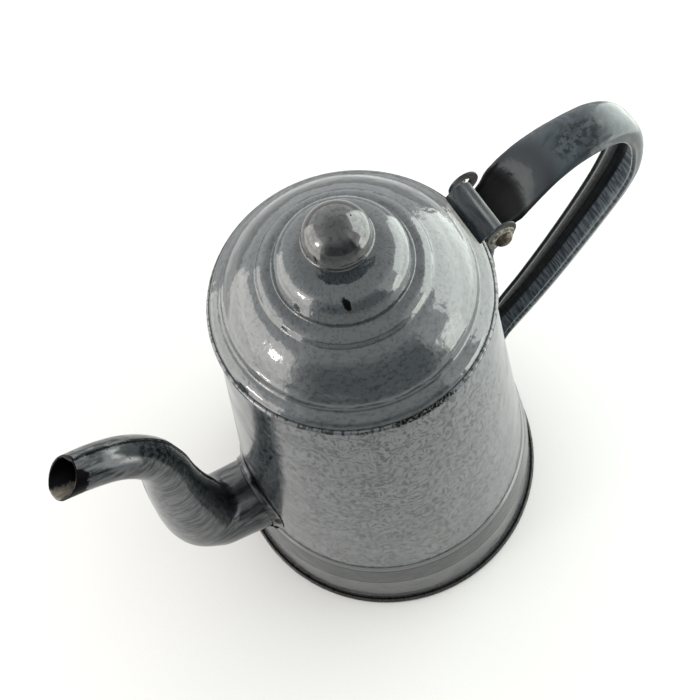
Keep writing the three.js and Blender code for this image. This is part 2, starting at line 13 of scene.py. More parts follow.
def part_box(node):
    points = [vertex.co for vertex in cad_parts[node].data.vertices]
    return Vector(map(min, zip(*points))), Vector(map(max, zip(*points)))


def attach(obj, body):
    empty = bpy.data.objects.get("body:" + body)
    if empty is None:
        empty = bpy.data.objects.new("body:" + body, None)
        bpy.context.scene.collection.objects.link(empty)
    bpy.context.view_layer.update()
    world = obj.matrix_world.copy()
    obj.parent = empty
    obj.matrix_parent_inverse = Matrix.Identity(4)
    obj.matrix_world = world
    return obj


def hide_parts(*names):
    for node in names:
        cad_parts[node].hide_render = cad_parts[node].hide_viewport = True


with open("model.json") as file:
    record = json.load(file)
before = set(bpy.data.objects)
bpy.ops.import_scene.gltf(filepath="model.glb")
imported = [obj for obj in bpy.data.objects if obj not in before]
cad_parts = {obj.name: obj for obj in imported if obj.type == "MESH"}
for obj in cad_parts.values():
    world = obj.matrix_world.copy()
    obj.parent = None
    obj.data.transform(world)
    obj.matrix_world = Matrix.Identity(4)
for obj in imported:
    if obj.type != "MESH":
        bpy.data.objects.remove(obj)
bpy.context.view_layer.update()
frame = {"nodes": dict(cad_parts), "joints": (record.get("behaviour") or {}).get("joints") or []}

MM = 0.001
ROUND = 192  # facets of a full turn on the large shells
SMALL = 40  # facets of a full turn on rivets and pins
SHARP_ANGLE = 38
TINY = 1e-6
FAR = Vector((0, 1, 0))  # toward the pot's far side
draw = random.Random(7)


def corners(node):
    low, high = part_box(node)
    return low / MM, high / MM


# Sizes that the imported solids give
body_low, body_high = corners("body_shell")
_, foot_high = corners("base_pan")
lid_low, lid_high = corners("lid_dome")
pin_x, _, pin_z = (value / MM for value in frame["joints"][0]["pos_m"])

# Sheet and body
SHEET = 0.9
GAP = 0.3
MOUTH_R = 51.0
ROLL_R = 1.5
BODY_TOP_Z = body_high.z - ROLL_R
WALL_SLOPE = (body_high.x - MOUTH_R) / (BODY_TOP_Z - body_low.z)
ROLL_CENTRE_R = MOUTH_R - SHEET + ROLL_R
RIM_TOP_Z = body_high.z
STRAINER_HOLE_R = 2.0
STRAINER_PITCH = 6.4
STRAINER_RINGS = 2  # rings of holes round the middle one

# Base
BAND_TOP_Z = 47.7
BAND_STRIP = 17.2  # height of the strip along the band's top
STRIP_LOW_Z = BAND_TOP_Z - BAND_STRIP
BAND_BEAD = 0.7  # how far the strip's lower corner stands proud
SEAM_HEIGHT = 3.1
FOOT_R = foot_high.x
BAND_FOOT_R = FOOT_R - 1.9
FOOT_BEAD = 1.1  # radius of the pan's lower rounding
SEAM_BEAD = 1.0  # radius of its upper one, round the band's foot
PAN_RIM = 11.0
PAN_RING = 38.0
PAN_RISE = 1.2
PAN_SLOPE = 3.0

# Spout
SPOUT_ROOT_Z = 61.7
SPOUT_OUT = 54.0
SPOUT_RISE = 126.0
ROOT_R = 18.5
KNEE_R = 17.2
TIP_R = 7.3
ROOT_TILT = radians(16)
KNEE_OUT_SHARE = 0.36
MOUTH_SHARE = 1.005
MOUTH_TILT = radians(48)
RISER_SHARES = [
    (0.36, 0.052), (0.455, 0.11), (0.487, 0.18), (0.495, 0.29), (0.495, 0.405), (0.48, 0.535),
    (0.457, 0.655), (0.457, 0.74), (0.478, 0.815), (0.545, 0.885), (0.645, 0.94), (0.79, 0.98),
    (1.01, 1.01), (1.28, 1.02),
]
RISER_RADIUS_SHARES = [1, 0.91, 0.83, 0.72, 0.55, 0.39, 0.27, 0.18, 0.15, 0.12, 0.1, 0.08, 0.04, 0]
SKIN_VOXEL = 0.8
SKIN_EASE = 14  # rounds of smoothing
TIP_STATION = -12  # the place on the riser that gives the way of the tip
FILLET = 2.9
LAP = 0.7  # how far one pressed half of the spout stands over the other along the seam
LAP_START = 10.0  # degrees from the top line of the spout to the seam
# Degrees past the seam where the spout is as narrow as its tip, and share of the lap's height
LAP_PROFILE = [
    (0, -0.7), (-0.6, 0.25), (-0.3, 0.7), (1.2, 1.0), (5, 0.96), (14, 0.7), (26, 0.3), (42, -0.25),
    (42, -0.7),
]
LAP_SPREAD = 1.1
LAP_START_SHARE = 0.12  # of the riser's length, where the seam begins
LAP_RISE = 18  # stations over which it reaches its full height
LAP_TIP_SHARE = 0.72
LAP_WAVER = 0.25  # in degrees
LAP_TIP_WAVER = 1.2

# Lid
LID_R = lid_high.x
LID_EDGE_Z = lid_low.z
LID_RISE = 36.6
CROWN_Z = LID_EDGE_Z + LID_RISE
SKIRT_SHARES = [(1, 0), (0.975, 0.058), (0.93, 0.1), (0.895, 0.13), (0.879, 0.2)]
DOME_SHARES = [
    (0.874, 0.226), (0.858, 0.246), (0.818, 0.325), (0.748, 0.44), (0.665, 0.54), (0.592, 0.595),
]
RING_SHARES = [(0.573, 0.648), (0.53, 0.682), (0.472, 0.69)]
BELL_SHARES = [(0.462, 0.735), (0.428, 0.85), (0.372, 0.935), (0.3, 0.972), (0.23, 0.985), (0.189, 1)]
LID_EDGE_ROUND = 0.45
STEP_ROUND = 0.7  # rounding where two pressed steps of the lid meet
COLLAR_DEPTH = 8.2
COLLAR_LEAN = 1.1
COLLAR_MOUTH_GAP = 0.9
COLLAR_TOP = 1.9  # height of its top over the lid's edge
NECK_R = 7.9
NECK_TOP = 2.0
KNOB_R = 11.9
KNOB_Z = CROWN_Z + 5.7
KNOB_BEAD = 0.6

# Hinge
EAR_HALF = 12.9
EAR_SHEET = 1.1
EAR_R = 6.2
EAR_LEAN = 0.3
EAR_NECK = (-0.42, -1.3)  # corner of the ear's neck, from its centre, in ear radii
EAR_ANGLES = (-80, 200)  # where its rounding starts and ends, in degrees
EAR_LEG_DROP = 11.0
PIN_R = 1.3
KNUCKLE_R = 2.5
LEAF_SHEET = 1.05
LEAF_REACH = 8.2
LEAF_CROWN = 3.2
LEAF_HALF = EAR_HALF - EAR_SHEET - 0.4
LEAF_SHARES = [(0.8, 0.4), (0.55, 0.8), (0.25, 1)]  # of its reach and of its crown
WASHER_R = 5.0
WASHER_SHEET = 0.8
PIN_HEAD_R = 3.5
PIN_HEAD_HEIGHT = 2.6
PIN_TAIL = [(0, 0.9), (1.5, 0.9), (1.9, 0.5), (1.9, 0)]  # radius, and distance past the far ear
BRACKET_DROP = 22.0
WORN_HOLE_R = 2.5

# Handle
STRAP_SHEET = 1.2
STRAP_FLAT = STRAP_SHEET + GAP / 3  # its depth where it lies flat
STRAP_TOP_Z = 227.0
STRAP_FOOT_Z = 66.0
STRAP_OUT = 74.7
STRAP_TAB = 14.0
STRAP_DEPTH = 8.0
STRAP_BEAD = 0.95  # radius of the rolled edge of the strap
STRAP_DISH = 2.2  # depth of the hollow in its face
DISH_PLACE = 38  # distance along the strap to the middle of the hollow
DISH_LENGTH = 11
STRAP_WIDTH_TOP = 2 * (EAR_HALF - EAR_SHEET - GAP)
STRAP_WIDTH_FOOT = 14.4
SECTION_ROUNDNESS = 0.62
# Outward share of STRAP_OUT, height share, width share and depth share, from the hinge to the foot
STRAP_SHARES = [
    (0.037, 0.81, 1, 0), (0.095, 0.848, 1, 0.04), (0.158, 0.881, 1, 0.08), (0.2, 0.9, 1.18, 0.14),
    (0.249, 0.921, 1.15, 0.2), (0.328, 0.948, 1.03, 0.3), (0.423, 0.974, 0.87, 0.45),
    (0.54, 0.993, 0.74, 0.6), (0.668, 1, 0.64, 0.75), (0.772, 0.996, 0.56, 0.86),
    (0.859, 0.977, 0.46, 0.93), (0.934, 0.94, 0.36, 1), (0.984, 0.882, 0.32, 1), (1, 0.81, 0.36, 1),
    (0.984, 0.739, 0.42, 1), (0.921, 0.664, 0.4, 1), (0.832, 0.591, 0.33, 1), (0.608, 0.435, 0.22, 1),
    (0.369, 0.287, 0.14, 1), (0.166, 0.181, 0.08, 0.9), (0.058, 0.132, 0.02, 0.4),
]
HANDLE_GAP_MIDDLE = (92, 0, 190)
LEG_INWARD = (-0.93, 0, 0.37)  # way that the hollow of the strap's leg faces

# Rivets
RIVET_R = 1.6
RIVET_HEAD_R = 3.0
RIVET_HEAD = 1.3
RIVET_SPACING = 7.0
RIVET_EDGE = 3.6
RIVET_TAIL = [(0, -2.1), (2.4, -2.1), (RIVET_HEAD_R, -1.2), (RIVET_R, -1.2)]

# Spots in the enamel: middle, radius, softness of the edge, and squeeze of the three axes
WALL_CHIPS = [
    ((-63.2, -3.4, 103.8), 1.1, 0.6, (1, 0.5, 1)),
    ((-60.3, -11.3, 119.0), 0.9, 0.6, (1, 0.6, 1)),
]
LID_SMEAR = ((48.7, 0, LID_EDGE_Z + 4.0), 1.3, 1.6, (1.4, 0.17, 0.9))
ROOT_CHIP = ((-66.2, -19.4, 64.8), 1.3, 0.7, (1, 1, 0.5))
# Painted reflection: a dark patch on top of the spout's root, standing for the reflected dark side of
# the room
ROOT_DARK_REFLECTION = ((-70, -2, 83), 9.0, 9.0)
# Painted reflection of a window: a pale greenish patch on the spout's riser
SPOUT_WINDOW_REFLECTION = ((-99.5, -3, 186.5), 4.2, 2.5, (0.7, 1, 0.7))
STRAP_MOTTLE = ((94, -3.5, 226.7), 3.4, 4.5, (0.5, 0.8, 1))
# Darker patches on the strap's top: the one by the hinge is painted shade over its dished end, the
# other darkens the enamel at the outer bend
STRAP_DIM = [
    ((73, 0, 217), 7.0, 9.0, (1, 0.6, 1)),
    ((123, 0, 213), 9.0, 9.0, (1, 0.6, 1)),
]
# Painted shade in the strap's dished end by the hinge, drawn dark and partly as black steel
STRAP_END_SHADE = ((pin_x + 5, 0, pin_z - 2), 7.8, 4.5, (1, 0.6, 0.6))
RIM_CHIPS_TURN = -91  # middle of the row of chips under the rim, in degrees round from +X
RIM_SMEAR_TURN = -113
RIM_SMEAR_Z = 197.2
LID_DROP = (20.2, -114, 235.4)  # radius, degrees round from +X, and height

# Camera, as the photograph was taken
CAMERA_PLACE = Vector((-52.5, -151.9, 525.6))
CAMERA_TARGET = Vector((-5.5, -0.8, 158.2))
CAMERA_UP = Vector((0.5009, 0.776, 0.3833))
FRAME_PIXELS = 700
FOCAL_PIXELS = 1000
SENSOR = 36

# Room light: where its dark opening lies, in degrees round from +X, and how bright its sides are
OPENING_START = (-174, -142)
OPENING_END = (-58, -63)
FRONT_GLOW = 0.36
BACK_GLOW = 2.2
TOP_GLOW = 1.25
BACK_RISE = (0.6, 0.95)  # heights in the sky between which the sides change to the top's glow
OPENING_RISE = (0.35, 0.8)
# Lit screens: middle, side in degrees round from +X, width, height, brightness and colour
SCREENS = {
    "screen_right": ((410, -20, 290), 0, 500, 580, 3.9, (0.93, 1.0, 0.93)),
    "screen_low": ((404, -400, 145), 0, 270, 290, 5.2, (0.96, 1.0, 0.92)),
    "screen_left": ((-430, 290, 240), 180, 800, 480, 2.6, (1.0, 0.97, 0.9)),
}
LAMP_AIM = Vector((0, 0, 120))
LAMP_WAY = Vector((-0.947, 0.02, 0.324))
LAMP_DISTANCE = 1300
LAMP = (200, 110, 30.0, (1.0, 0.93, 0.86))  # width, height, brightness and colour

# Floor and enamel
FLOOR_HALF = 3000
FLOOR_STEPS = 24
ENAMEL_IOR = 1.7
BAND_IOR = 1.42
DULL_IOR = 1.38  # of the handle's older, duller enamel


# Camera


def make_camera():
    data = bpy.data.cameras.new("camera")
    data.sensor_width = SENSOR
    data.lens = SENSOR * FOCAL_PIXELS / FRAME_PIXELS
    data.clip_start = 10 * MM
    data.clip_end = 50
    camera = scene_object("camera", data)
    back = (CAMERA_PLACE - CAMERA_TARGET).normalized()
    right = CAMERA_UP.cross(back).normalized()
    up = back.cross(right)
    turn = Matrix((right, up, back)).transposed().to_4x4()
    camera.matrix_world = Matrix.Translation(CAMERA_PLACE * MM) @ turn
    bpy.context.scene.camera = camera


# Materials


class Tree:
    """Node tree of a material or world, with short calls for the nodes used here."""

    def __init__(self, owner, place, scale):
        owner.use_nodes = True
        self.nodes = owner.node_tree.nodes
        self.links = owner.node_tree.links
        self.nodes.clear()
        self.point = self.vector_math("SCALE", self.node("TexCoord", {}, place), scale=scale)
        split = self.nodes.new("ShaderNodeSeparateXYZ")
        self.links.new(self.point, split.inputs[0])
        self.x, self.y, self.z = split.outputs
        self.turn = self.math("ARCTAN2", self.y, self.x)  # about Z, in radians from +X

    def node(self, kind, inputs, output=0, **settings):
        """New node with its settings and inputs; it gives back one of its outputs."""
        node = self.nodes.new("ShaderNode" + kind)
        for name, value in settings.items():
            setattr(node, name, value)
        for key, value in inputs.items():
            if isinstance(value, bpy.types.NodeSocket):
                self.links.new(value, node.inputs[key])
            else:
                node.inputs[key].default_value = value
        return node.outputs[output] if node.outputs else None

    def math(self, operation, *values):
        return self.node("Math", dict(enumerate(values)), operation=operation)

    def vector_math(self, operation, *values, scale=None):
        inputs = dict(enumerate(values))
        if scale is not None:
            inputs["Scale"] = scale
        output = "Value" if operation in {"DOT_PRODUCT", "LENGTH"} else "Vector"
        return self.node("VectorMath", inputs, output, operation=operation)

    def vector(self, x, y, z=0.0):
        return self.node("CombineXYZ", {0: x, 1: y, 2: z})

    def noise(self, scale=1.0, detail=2.0, roughness=0.5, distortion=0.0, place=None):
        inputs = {
            "Vector": self.point if place is None else place, "Scale": scale, "Detail": detail,
            "Roughness": roughness, "Distortion": distortion,
        }
        return self.node("TexNoise", inputs)

    def step(self, value, start, end, low=0.0, high=1.0):
        """Smooth change from low to high while the value runs from start to end."""
        inputs = dict(enumerate((value, start, end, low, high)))
        return self.node("MapRange", inputs, interpolation_type="SMOOTHSTEP")

    def blend(self, share, first, second):
        return self.node("Mix", {0: share, 6: first, 7: second}, 2, data_type="RGBA")

    def near(self, centre, radius, soft=0.4, squeeze=(1, 1, 1)):
        """1 inside an ellipsoid round a place, and 0 a little outside it."""
        away = self.vector_math("SUBTRACT", self.point, tuple(centre))
        away = self.vector_math("MULTIPLY", away, tuple(squeeze))
        reach = self.math("ADD", self.vector_math("LENGTH", away), self.noise(0.9, 3))
        return self.step(reach, radius + 0.5 + soft, radius + 0.5)

    def most(self, *values):
        result, *others = values
        for value in others:
            result = self.math("MAXIMUM", result, value)
        return result

    def times(self, first, *others):
        for other in others:
            first = self.math("MULTIPLY", first, other)
        return first

    def dot(self, value, axis):
        """How far a value reaches along an axis."""
        return self.vector_math("DOT_PRODUCT", value, tuple(axis))

    def line(self, value, level, start, end):
        """1 where a value lies within `end` of a level, and 0 beyond `start`."""
        return self.step(self.math("ABSOLUTE", self.math("SUBTRACT", value, level)), start, end)


class Look(Tree):
    """A material, with places in millimetres."""

    def __init__(self, name):
        self.material = bpy.data.materials.new(name)
        super().__init__(self.material, "Object", 1 / MM)
        self.normal = self.node("NewGeometry", {}, "Normal")

    def bump(self, height, distance, strength=1.0, normal=None):
        inputs = {"Strength": strength, "Distance": distance * MM, "Height": height}
        if normal is not None:
            inputs["Normal"] = normal
        return self.node("Bump", inputs)

    def surface(self, colour, roughness, normal, metallic=0.0, ior=1.5):
        inputs = {"Base Color": colour, "Roughness": roughness, "Metallic": metallic, "IOR": ior}
        shader = self.node("BsdfPrincipled", {**inputs, "Normal": normal})
        self.node("OutputMaterial", {0: shader})
        return self.material


def grey(value, blue=0.0, green=0.0):
    """Grey with one share moved from red to blue, and one added to green."""
    return (value * (1 - blue), value * (1 + green), value * (1 + blue), 1.0)


# Black of chipped enamel down to the steel, also used for painted shade
BLACK_FOR_CHIPS_AND_SHADE = (0.005, 0.005, 0.0055, 1.0)
WORN_BROWN = (0.02, 0.013, 0.008, 1.0)
BARE_BEIGE = (0.075, 0.062, 0.046, 1.0)


def wall_flecks(look, length, height, limit):
    """Short dark flecks that run round the pot, with a gentle sway."""
    around = look.times(look.turn, (MOUTH_R + body_high.x) / 2 / length)
    slant = look.math("MULTIPLY_ADD", look.noise(0.11, 2), 16.0, look.z)
    place = look.vector(around, look.times(slant, 1 / height))
    flecks = look.noise(1.0, 2.0, 0.55, 0.5, place)
    thick = look.step(look.noise(0.09, 2), 0.35, 0.65, -0.02, 0.03)
    return look.step(look.math("SUBTRACT", flecks, thick), limit, limit - 0.06)


def streaks(look, direction, length, width, amount, sway=5.0):
    """Long thin marks that follow a direction."""
    along = Vector(direction).normalized()
    side = along.orthogonal().normalized()
    third = along.cross(side)
    drift = look.times(look.noise(0.06, 1), sway)
    parts = []
    for axis, size in ((along, length), (side, width), (third, width)):
        reach = look.math("ADD", look.dot(look.point, axis), drift)
        parts.append(look.times(reach, 1 / size))
    marks = look.noise(1.0, 3, 0.6, place=look.vector(*parts))
    return look.step(marks, 0.5 + amount, 0.5 - amount)


def enamel(
    look, marks, light, dark, tone=None, chips_and_painted_shade=None, worn=None, bare=WORN_BROWN,
    gloss=0.13, waves=0.3, dull=0.3, ior=ENAMEL_IOR,
):
    """Glossy enamel with darker, duller marks, black marks down to the steel for chipped enamel and
    for painted shade, and worn places.
    """
    colour = look.blend(marks, light, dark)
    shade = look.step(look.noise(0.045, 3, 0.55), 0.35, 0.68)
    if tone is not None:
        colour = look.blend(shade, colour, look.blend(0.45, colour, tone))
    normal = look.bump(look.noise(0.14, 3, 0.45), waves)
    roughness = look.step(shade, 0.0, 1.0, gloss, gloss * 1.5)
    metal = look.times(marks, dull)
    if worn is not None:
        colour = look.blend(worn, colour, bare)
        roughness = look.step(worn, 0.0, 1.0, roughness, 0.5)
    # Black marks: real chips, and painted shade where a caller passes it
    if chips_and_painted_shade is not None:
        colour = look.blend(chips_and_painted_shade, colour, BLACK_FOR_CHIPS_AND_SHADE)
        roughness = look.step(chips_and_painted_shade, 0.0, 1.0, roughness, 0.5)
        normal = look.bump(look.times(chips_and_painted_shade, -1.0), 0.25, 1.0, normal)
        metal = look.most(metal, chips_and_painted_shade)
    return look.surface(colour, roughness, normal, metal, ior)


def specks(look, scale, share):
    """Small pinholes spread over a piece."""
    distance = look.node("TexVoronoi", {"Vector": look.point, "Scale": scale}, "Distance")
    limit = look.step(look.noise(scale * 0.7, 1), 1 - share, 1.0, 0.0, 0.22)
    return look.step(look.math("SUBTRACT", distance, limit), 0.04, -0.04)


def on_circle(radius, turn, z):
    """Place at a radius, turned by degrees from +X."""
    angle = radians(turn)
    return Vector((radius * cos(angle), radius * sin(angle), z))


def body_enamel():
    look = Look("enamel_body")
    marks = wall_flecks(look, 2.3, 1.5, 0.5)
    rough = look.noise(1.1, 3, 0.7)
    rim_chips = look.times(
        look.step(look.z, RIM_TOP_Z - 3.4, RIM_TOP_Z - 2.2),
        look.line(look.turn, radians(RIM_CHIPS_TURN), 0.25, 0.2),
        look.step(rough, 0.44, 0.5),
    )
    smear_place = on_circle(wall_radius(RIM_SMEAR_Z), RIM_SMEAR_TURN, RIM_SMEAR_Z)
    smear = look.near(smear_place, 5.0, 0.8, (0.75, 0.75, 3.2))
    wall_chips = [look.near(*spot) for spot in WALL_CHIPS]
    return enamel(
        look, marks, grey(0.056, 0.11, 0.01), grey(0.009, 0.16, 0.02), tone=grey(0.038, 0.14, 0.01),
        chips_and_painted_shade=look.most(rim_chips, smear, *wall_chips, specks(look, 0.08, 0.35)),
        gloss=0.14, waves=0.2, dull=0.55,
    )


def band_enamel():
    """Darker than the wall, with painted shade on the strip, painted highlight lines at the strip's
    two edges and drips under it.
    """
    look = Look("enamel_band")
    flecks = wall_flecks(look, 1.7, 2.4, 0.48)
    # Painted highlights: lighter lines along the band's top edge and the strip's lower corner
    edges = look.most(
        look.step(look.z, BAND_TOP_Z - 0.8, BAND_TOP_Z - 0.3),
        look.line(look.z, STRIP_LOW_Z, 0.9, 0.3),
    )
    # Painted shade: the strip is darker than the band below it
    strip = look.step(look.z, STRIP_LOW_Z - 0.2, STRIP_LOW_Z + 0.4, 0.6, 0.8)
    place = look.vector(look.times(look.turn, 60.0), look.times(look.z, 0.12))
    drips = look.noise(place=place)
    hang = look.times(
        look.step(look.z, STRIP_LOW_Z - 5.0, STRIP_LOW_Z - 1.0),
        look.step(look.z, STRIP_LOW_Z + 0.3, STRIP_LOW_Z - 0.3),
        look.step(drips, 0.5, 0.6),
    )
    marks = look.math("MINIMUM", look.math("MULTIPLY_ADD", flecks, 0.26, strip), 1.0)
    marks = look.math("SUBTRACT", marks, look.times(hang, 0.5))
    # No dark marks and a lighter colour at the two edges: the painted highlight
    marks = look.times(marks, look.step(edges, 0.0, 1.0, 1.0, 0.0))
    light = look.blend(edges, grey(0.06, 0.1, 0.01), grey(0.11, 0.03, 0.01))
    rough = look.noise(0.5, 3, 0.7)
    return enamel(
        look, marks, light, grey(0.006, 0.25, 0.01),
        chips_and_painted_shade=look.times(look.step(look.z, 1.6, 0.6), look.step(rough, 0.36, 0.46)),
        worn=look.times(look.step(look.z, 5.6, 2.6), look.step(rough, 0.42, 0.56)),
        gloss=0.16, waves=0.2, dull=0.5, ior=BAND_IOR,
    )


def lid_enamel():
    look = Look("enamel_lid")
    around = look.times(look.turn, LID_R / 2.2)
    radius = look.vector_math("LENGTH", look.vector(look.x, look.y))
    place = look.vector(around, look.times(radius, 0.8), look.times(look.z, 0.8))
    marks = look.step(look.noise(0.9, 3, 0.65, place=place), 0.54, 0.34)
    drop = look.near(on_circle(*LID_DROP), 0.95, 0.7, (1.0, 0.5, 0.5))
    edge = look.times(
        look.step(look.z, LID_EDGE_Z + 0.9, LID_EDGE_Z + 0.3),
        look.step(look.noise(0.35, 3, 0.7), 0.6, 0.68),
    )
    return enamel(
        look, marks, grey(0.034, 0.16, 0.04), grey(0.015, 0.2, 0.03), tone=grey(0.022, 0.2, 0.06),
        chips_and_painted_shade=look.most(drop, edge, specks(look, 0.12, 0.45)),
        worn=look.near(*LID_SMEAR), gloss=0.11, waves=0.45, dull=0.12,
    )


def knob_enamel():
    look = Look("enamel_knob")
    marks = look.step(look.noise(0.55, 3, 0.65), 0.56, 0.36)
    return enamel(
        look, marks, grey(0.006, 0.2, 0.02), grey(0.002, 0.2), tone=grey(0.004, 0.2),
        chips_and_painted_shade=specks(look, 0.3, 0.6), gloss=0.12, waves=0.2,
    )


def spout_enamel(mouth_place, mouth_normal, tip_way):
    look = Look("enamel_spout")
    marks = streaks(look, (1, 0, -0.15), 12, 1.7, 0.1)
    rough = look.noise(0.45, 4, 0.7)
    away = look.vector_math("SUBTRACT", look.point, tuple(mouth_place))
    depth = look.times(look.dot(away, mouth_normal), -1.0)
    along = look.dot(away, tip_way)
    on_axis = look.vector_math("SCALE", tuple(tip_way), scale=along)
    off_axis = look.vector_math("SUBTRACT", away, on_axis)
    # Inner face of the spout near its mouth: painted shade, drawn black with the chips, except where
    # the bare patch lies
    inside = look.times(
        look.step(look.vector_math("DOT_PRODUCT", off_axis, look.normal), 0.0, -1.5),
        look.step(depth, 30, 24),
    )
    # The worn patch lies on the near side of the lip, the bare one inside its lower edge
    near_side = look.step(look.y, 0.8, -5.5, -5.0, 4.5)
    patch = look.math("MULTIPLY_ADD", rough, 9.0, look.math("SUBTRACT", near_side, 4.5))
    lip = look.step(look.math("SUBTRACT", depth, patch), 0.5, -0.5)
    lip = look.most(lip, look.step(depth, 0.7, 0.3))
    low_side = look.dot(off_axis, (-0.2, -0.45, -0.87))
    bare = look.times(
        look.step(look.math("MULTIPLY_ADD", rough, 3.0, low_side), 5.6, 7.4),
        look.step(depth, 11, 6),
        inside,
    )
    tip_chips = look.times(
        look.step(look.noise(0.8, 3), 0.7, 0.78),
        look.step(depth, 30, 10),
    )
    lap_line = look.times(
        look.line(look.y, 1.2, 0.6, 0.2),
        look.step(look.z, 150, 170, 0.0, 0.7),
        look.step(rough, 0.44, 0.54),
    )
    # The inner face joins the chips as painted shade inside the mouth
    chips_and_painted_shade = look.most(lip, look.near(*ROOT_CHIP), lap_line, tip_chips, inside)
    chips_and_painted_shade = look.times(chips_and_painted_shade, look.step(bare, 0.0, 1.0, 1.0, 0.0))
    # Painted reflection of a window: the patch loses most dark marks and takes the paler greenish
    # colour that the far half also has
    painted_reflection = look.near(*SPOUT_WINDOW_REFLECTION)
    marks = look.times(marks, look.step(painted_reflection, 0.0, 1.0, 1.0, 0.2))
    # Painted reflection: dark marks over the top of the root, for the reflected dark side of the room
    marks = look.most(marks, look.times(look.near(*ROOT_DARK_REFLECTION), 0.6))
    far_half = look.step(look.y, 1.0, 2.2)
    light = look.blend(look.most(far_half, painted_reflection), grey(0.032, 0.16, 0.01), grey(0.05, 0.08, 0.05))
    return enamel(
        look, marks, light, grey(0.006, 0.35, 0.12), tone=grey(0.015, 0.25, 0.08), chips_and_painted_shade=chips_and_painted_shade,
        worn=bare, bare=BARE_BEIGE, gloss=0.17, waves=0.25, dull=0.6,
    )


def strap_enamel():
    """Cloudy on top, striped across the leg, with painted shade by the hinge and on the channel's far
    side, and painted light on the inner faces.
    """
    look = Look("enamel_strap")
    across = streaks(look, (0, 1, 0), 9, 1.4, 0.12, 2.0)
    cloudy = look.times(streaks(look, (0.6, 0.7, 0.4), 16, 4, 0.2, 10.0), 0.75)
    mottle = look.step(look.noise(0.45, 4, 0.65), 0.6, 0.42)
    cloudy = look.most(cloudy, look.times(look.near(*STRAP_MOTTLE), mottle))
    marks = look.blend(look.step(look.z, 192, 208), across, cloudy)
    # Darker patches; the one by the hinge is painted shade
    dim = look.most(*(look.near(*spot) for spot in STRAP_DIM))
    marks = look.most(marks, look.times(dim, 0.85))
    inward = look.vector_math("SUBTRACT", HANDLE_GAP_MIDDLE, look.point)
    inward = look.vector_math("NORMALIZE", inward)
    under_top = look.step(look.vector_math("DOT_PRODUCT", inward, look.normal), 0.35, 0.8)
    in_leg = look.step(look.dot(look.normal, LEG_INWARD), 0.2, 0.5)
    inside = look.blend(look.step(look.z, 180, 190), in_leg, under_top)
    # Painted shade by the hinge and on the channel's far side; by the hinge it is also drawn as black
    # steel
    end = look.near(*STRAP_END_SHADE)
    hollow = look.times(inside, look.step(look.y, 1.0, 2.2))
    unlit = look.most(end, hollow)
    # Painted light: lighter colours on the inner faces make up for the little light that reaches
    # them, and painted shade darkens the unlit parts
    light = look.blend(inside, grey(0.04, 0.2, 0.05), grey(0.13, 0.14, 0.02))
    light = look.blend(unlit, light, grey(0.005, 0.3))
    deep = look.blend(inside, grey(0.008, 0.3), grey(0.05, 0.2))
    deep = look.blend(unlit, deep, grey(0.002, 0.3))
    return enamel(
        look, marks, light, deep, chips_and_painted_shade=look.times(end, 0.8), gloss=0.17, dull=0.25, ior=DULL_IOR,
    )


def leaf_enamel():
    look = Look("enamel_leaf")
    marks = streaks(look, (0, 1, 0), 9, 1.6, 0.18)
    rough = look.noise(0.5, 3, 0.7)
    foot = look.math("MULTIPLY_ADD", rough, 1.6, look.x)
    return enamel(
        look, marks, grey(0.022, 0.25, 0.05), grey(0.006, 0.3), tone=grey(0.011, 0.25),
        worn=look.step(foot, pin_x - 7.0, pin_x - 7.7), gloss=0.22, dull=0.2, ior=DULL_IOR,
    )


def steel(name, bright, dull, metallic, roughness):
    look = Look(name)
    rust = look.step(look.noise(0.5, 4, 0.65), 0.4, 0.62)
    rough = look.step(rust, 0.0, 1.0, roughness, roughness + 0.25)
    height = look.noise(1.3, 3)
    return look.surface(look.blend(rust, bright, dull), rough, look.bump(height, 0.12), metallic)


def floor_paper():
    look = Look("floor_paper")
    fibre = look.noise(0.8, 3)
    colour = look.blend(fibre, (0.47, 0.47, 0.465, 1), (0.5, 0.5, 0.495, 1))
    return look.surface(colour, 0.85, look.bump(fibre, 0.02))


# Meshes


def wall_radius(z):
    return MOUTH_R + (BODY_TOP_Z - z) * WALL_SLOPE


def arc(r, z, radius, start, end, steps):
    angles = (radians(start + (end - start) * i / steps) for i in range(steps + 1))
    return [(r + radius * cos(a), z + radius * sin(a)) for a in angles]


def smooth(points, per_span):
    """Centripetal Catmull-Rom curve; spans are measured over the first two numbers of a point."""
    points = [np.array(p, float) for p in points]
    points = [2 * points[0] - points[1], *points, 2 * points[-1] - points[-2]]
    curve = []
    for p0, p1, p2, p3 in zip(points, points[1:], points[2:], points[3:]):
        t1 = np.linalg.norm((p1 - p0)[:2]) ** 0.5
        t2 = t1 + np.linalg.norm((p2 - p1)[:2]) ** 0.5
        t3 = t2 + np.linalg.norm((p3 - p2)[:2]) ** 0.5
        for t in np.linspace(t1, t2, per_span, endpoint=False):
            a1 = p0 + (p1 - p0) * t / t1
            a2 = p1 + (p2 - p1) * (t - t1) / (t2 - t1)
            a3 = p2 + (p3 - p2) * (t - t2) / (t3 - t2)
            b1 = a1 + (a2 - a1) * t / t2
            b2 = a2 + (a3 - a2) * (t - t1) / (t3 - t1)
            curve.append(b1 + (b2 - b1) * (t - t1) / (t2 - t1))
    curve.append(points[-2])
    return curve


def rounded(points, radius, steps=4):
    """Polyline with each inner corner eased, from `radius` before it to `radius` after it."""
    points = [np.array(p, float) for p in points]
    result = [points[0]]
    for a, b, c in zip(points, points[1:], points[2:]):
        back = np.linalg.norm(a - b)
        on = np.linalg.norm(c - b)
        p = b + (a - b) / back * min(radius, back / 2)
        q = b + (c - b) / on * min(radius, on / 2)
        for t in np.linspace(0, 1, steps + 1):
            result.append((1 - t) ** 2 * p + 2 * t * (1 - t) * b + t * t * q)
    result.append(points[-1])
    return result


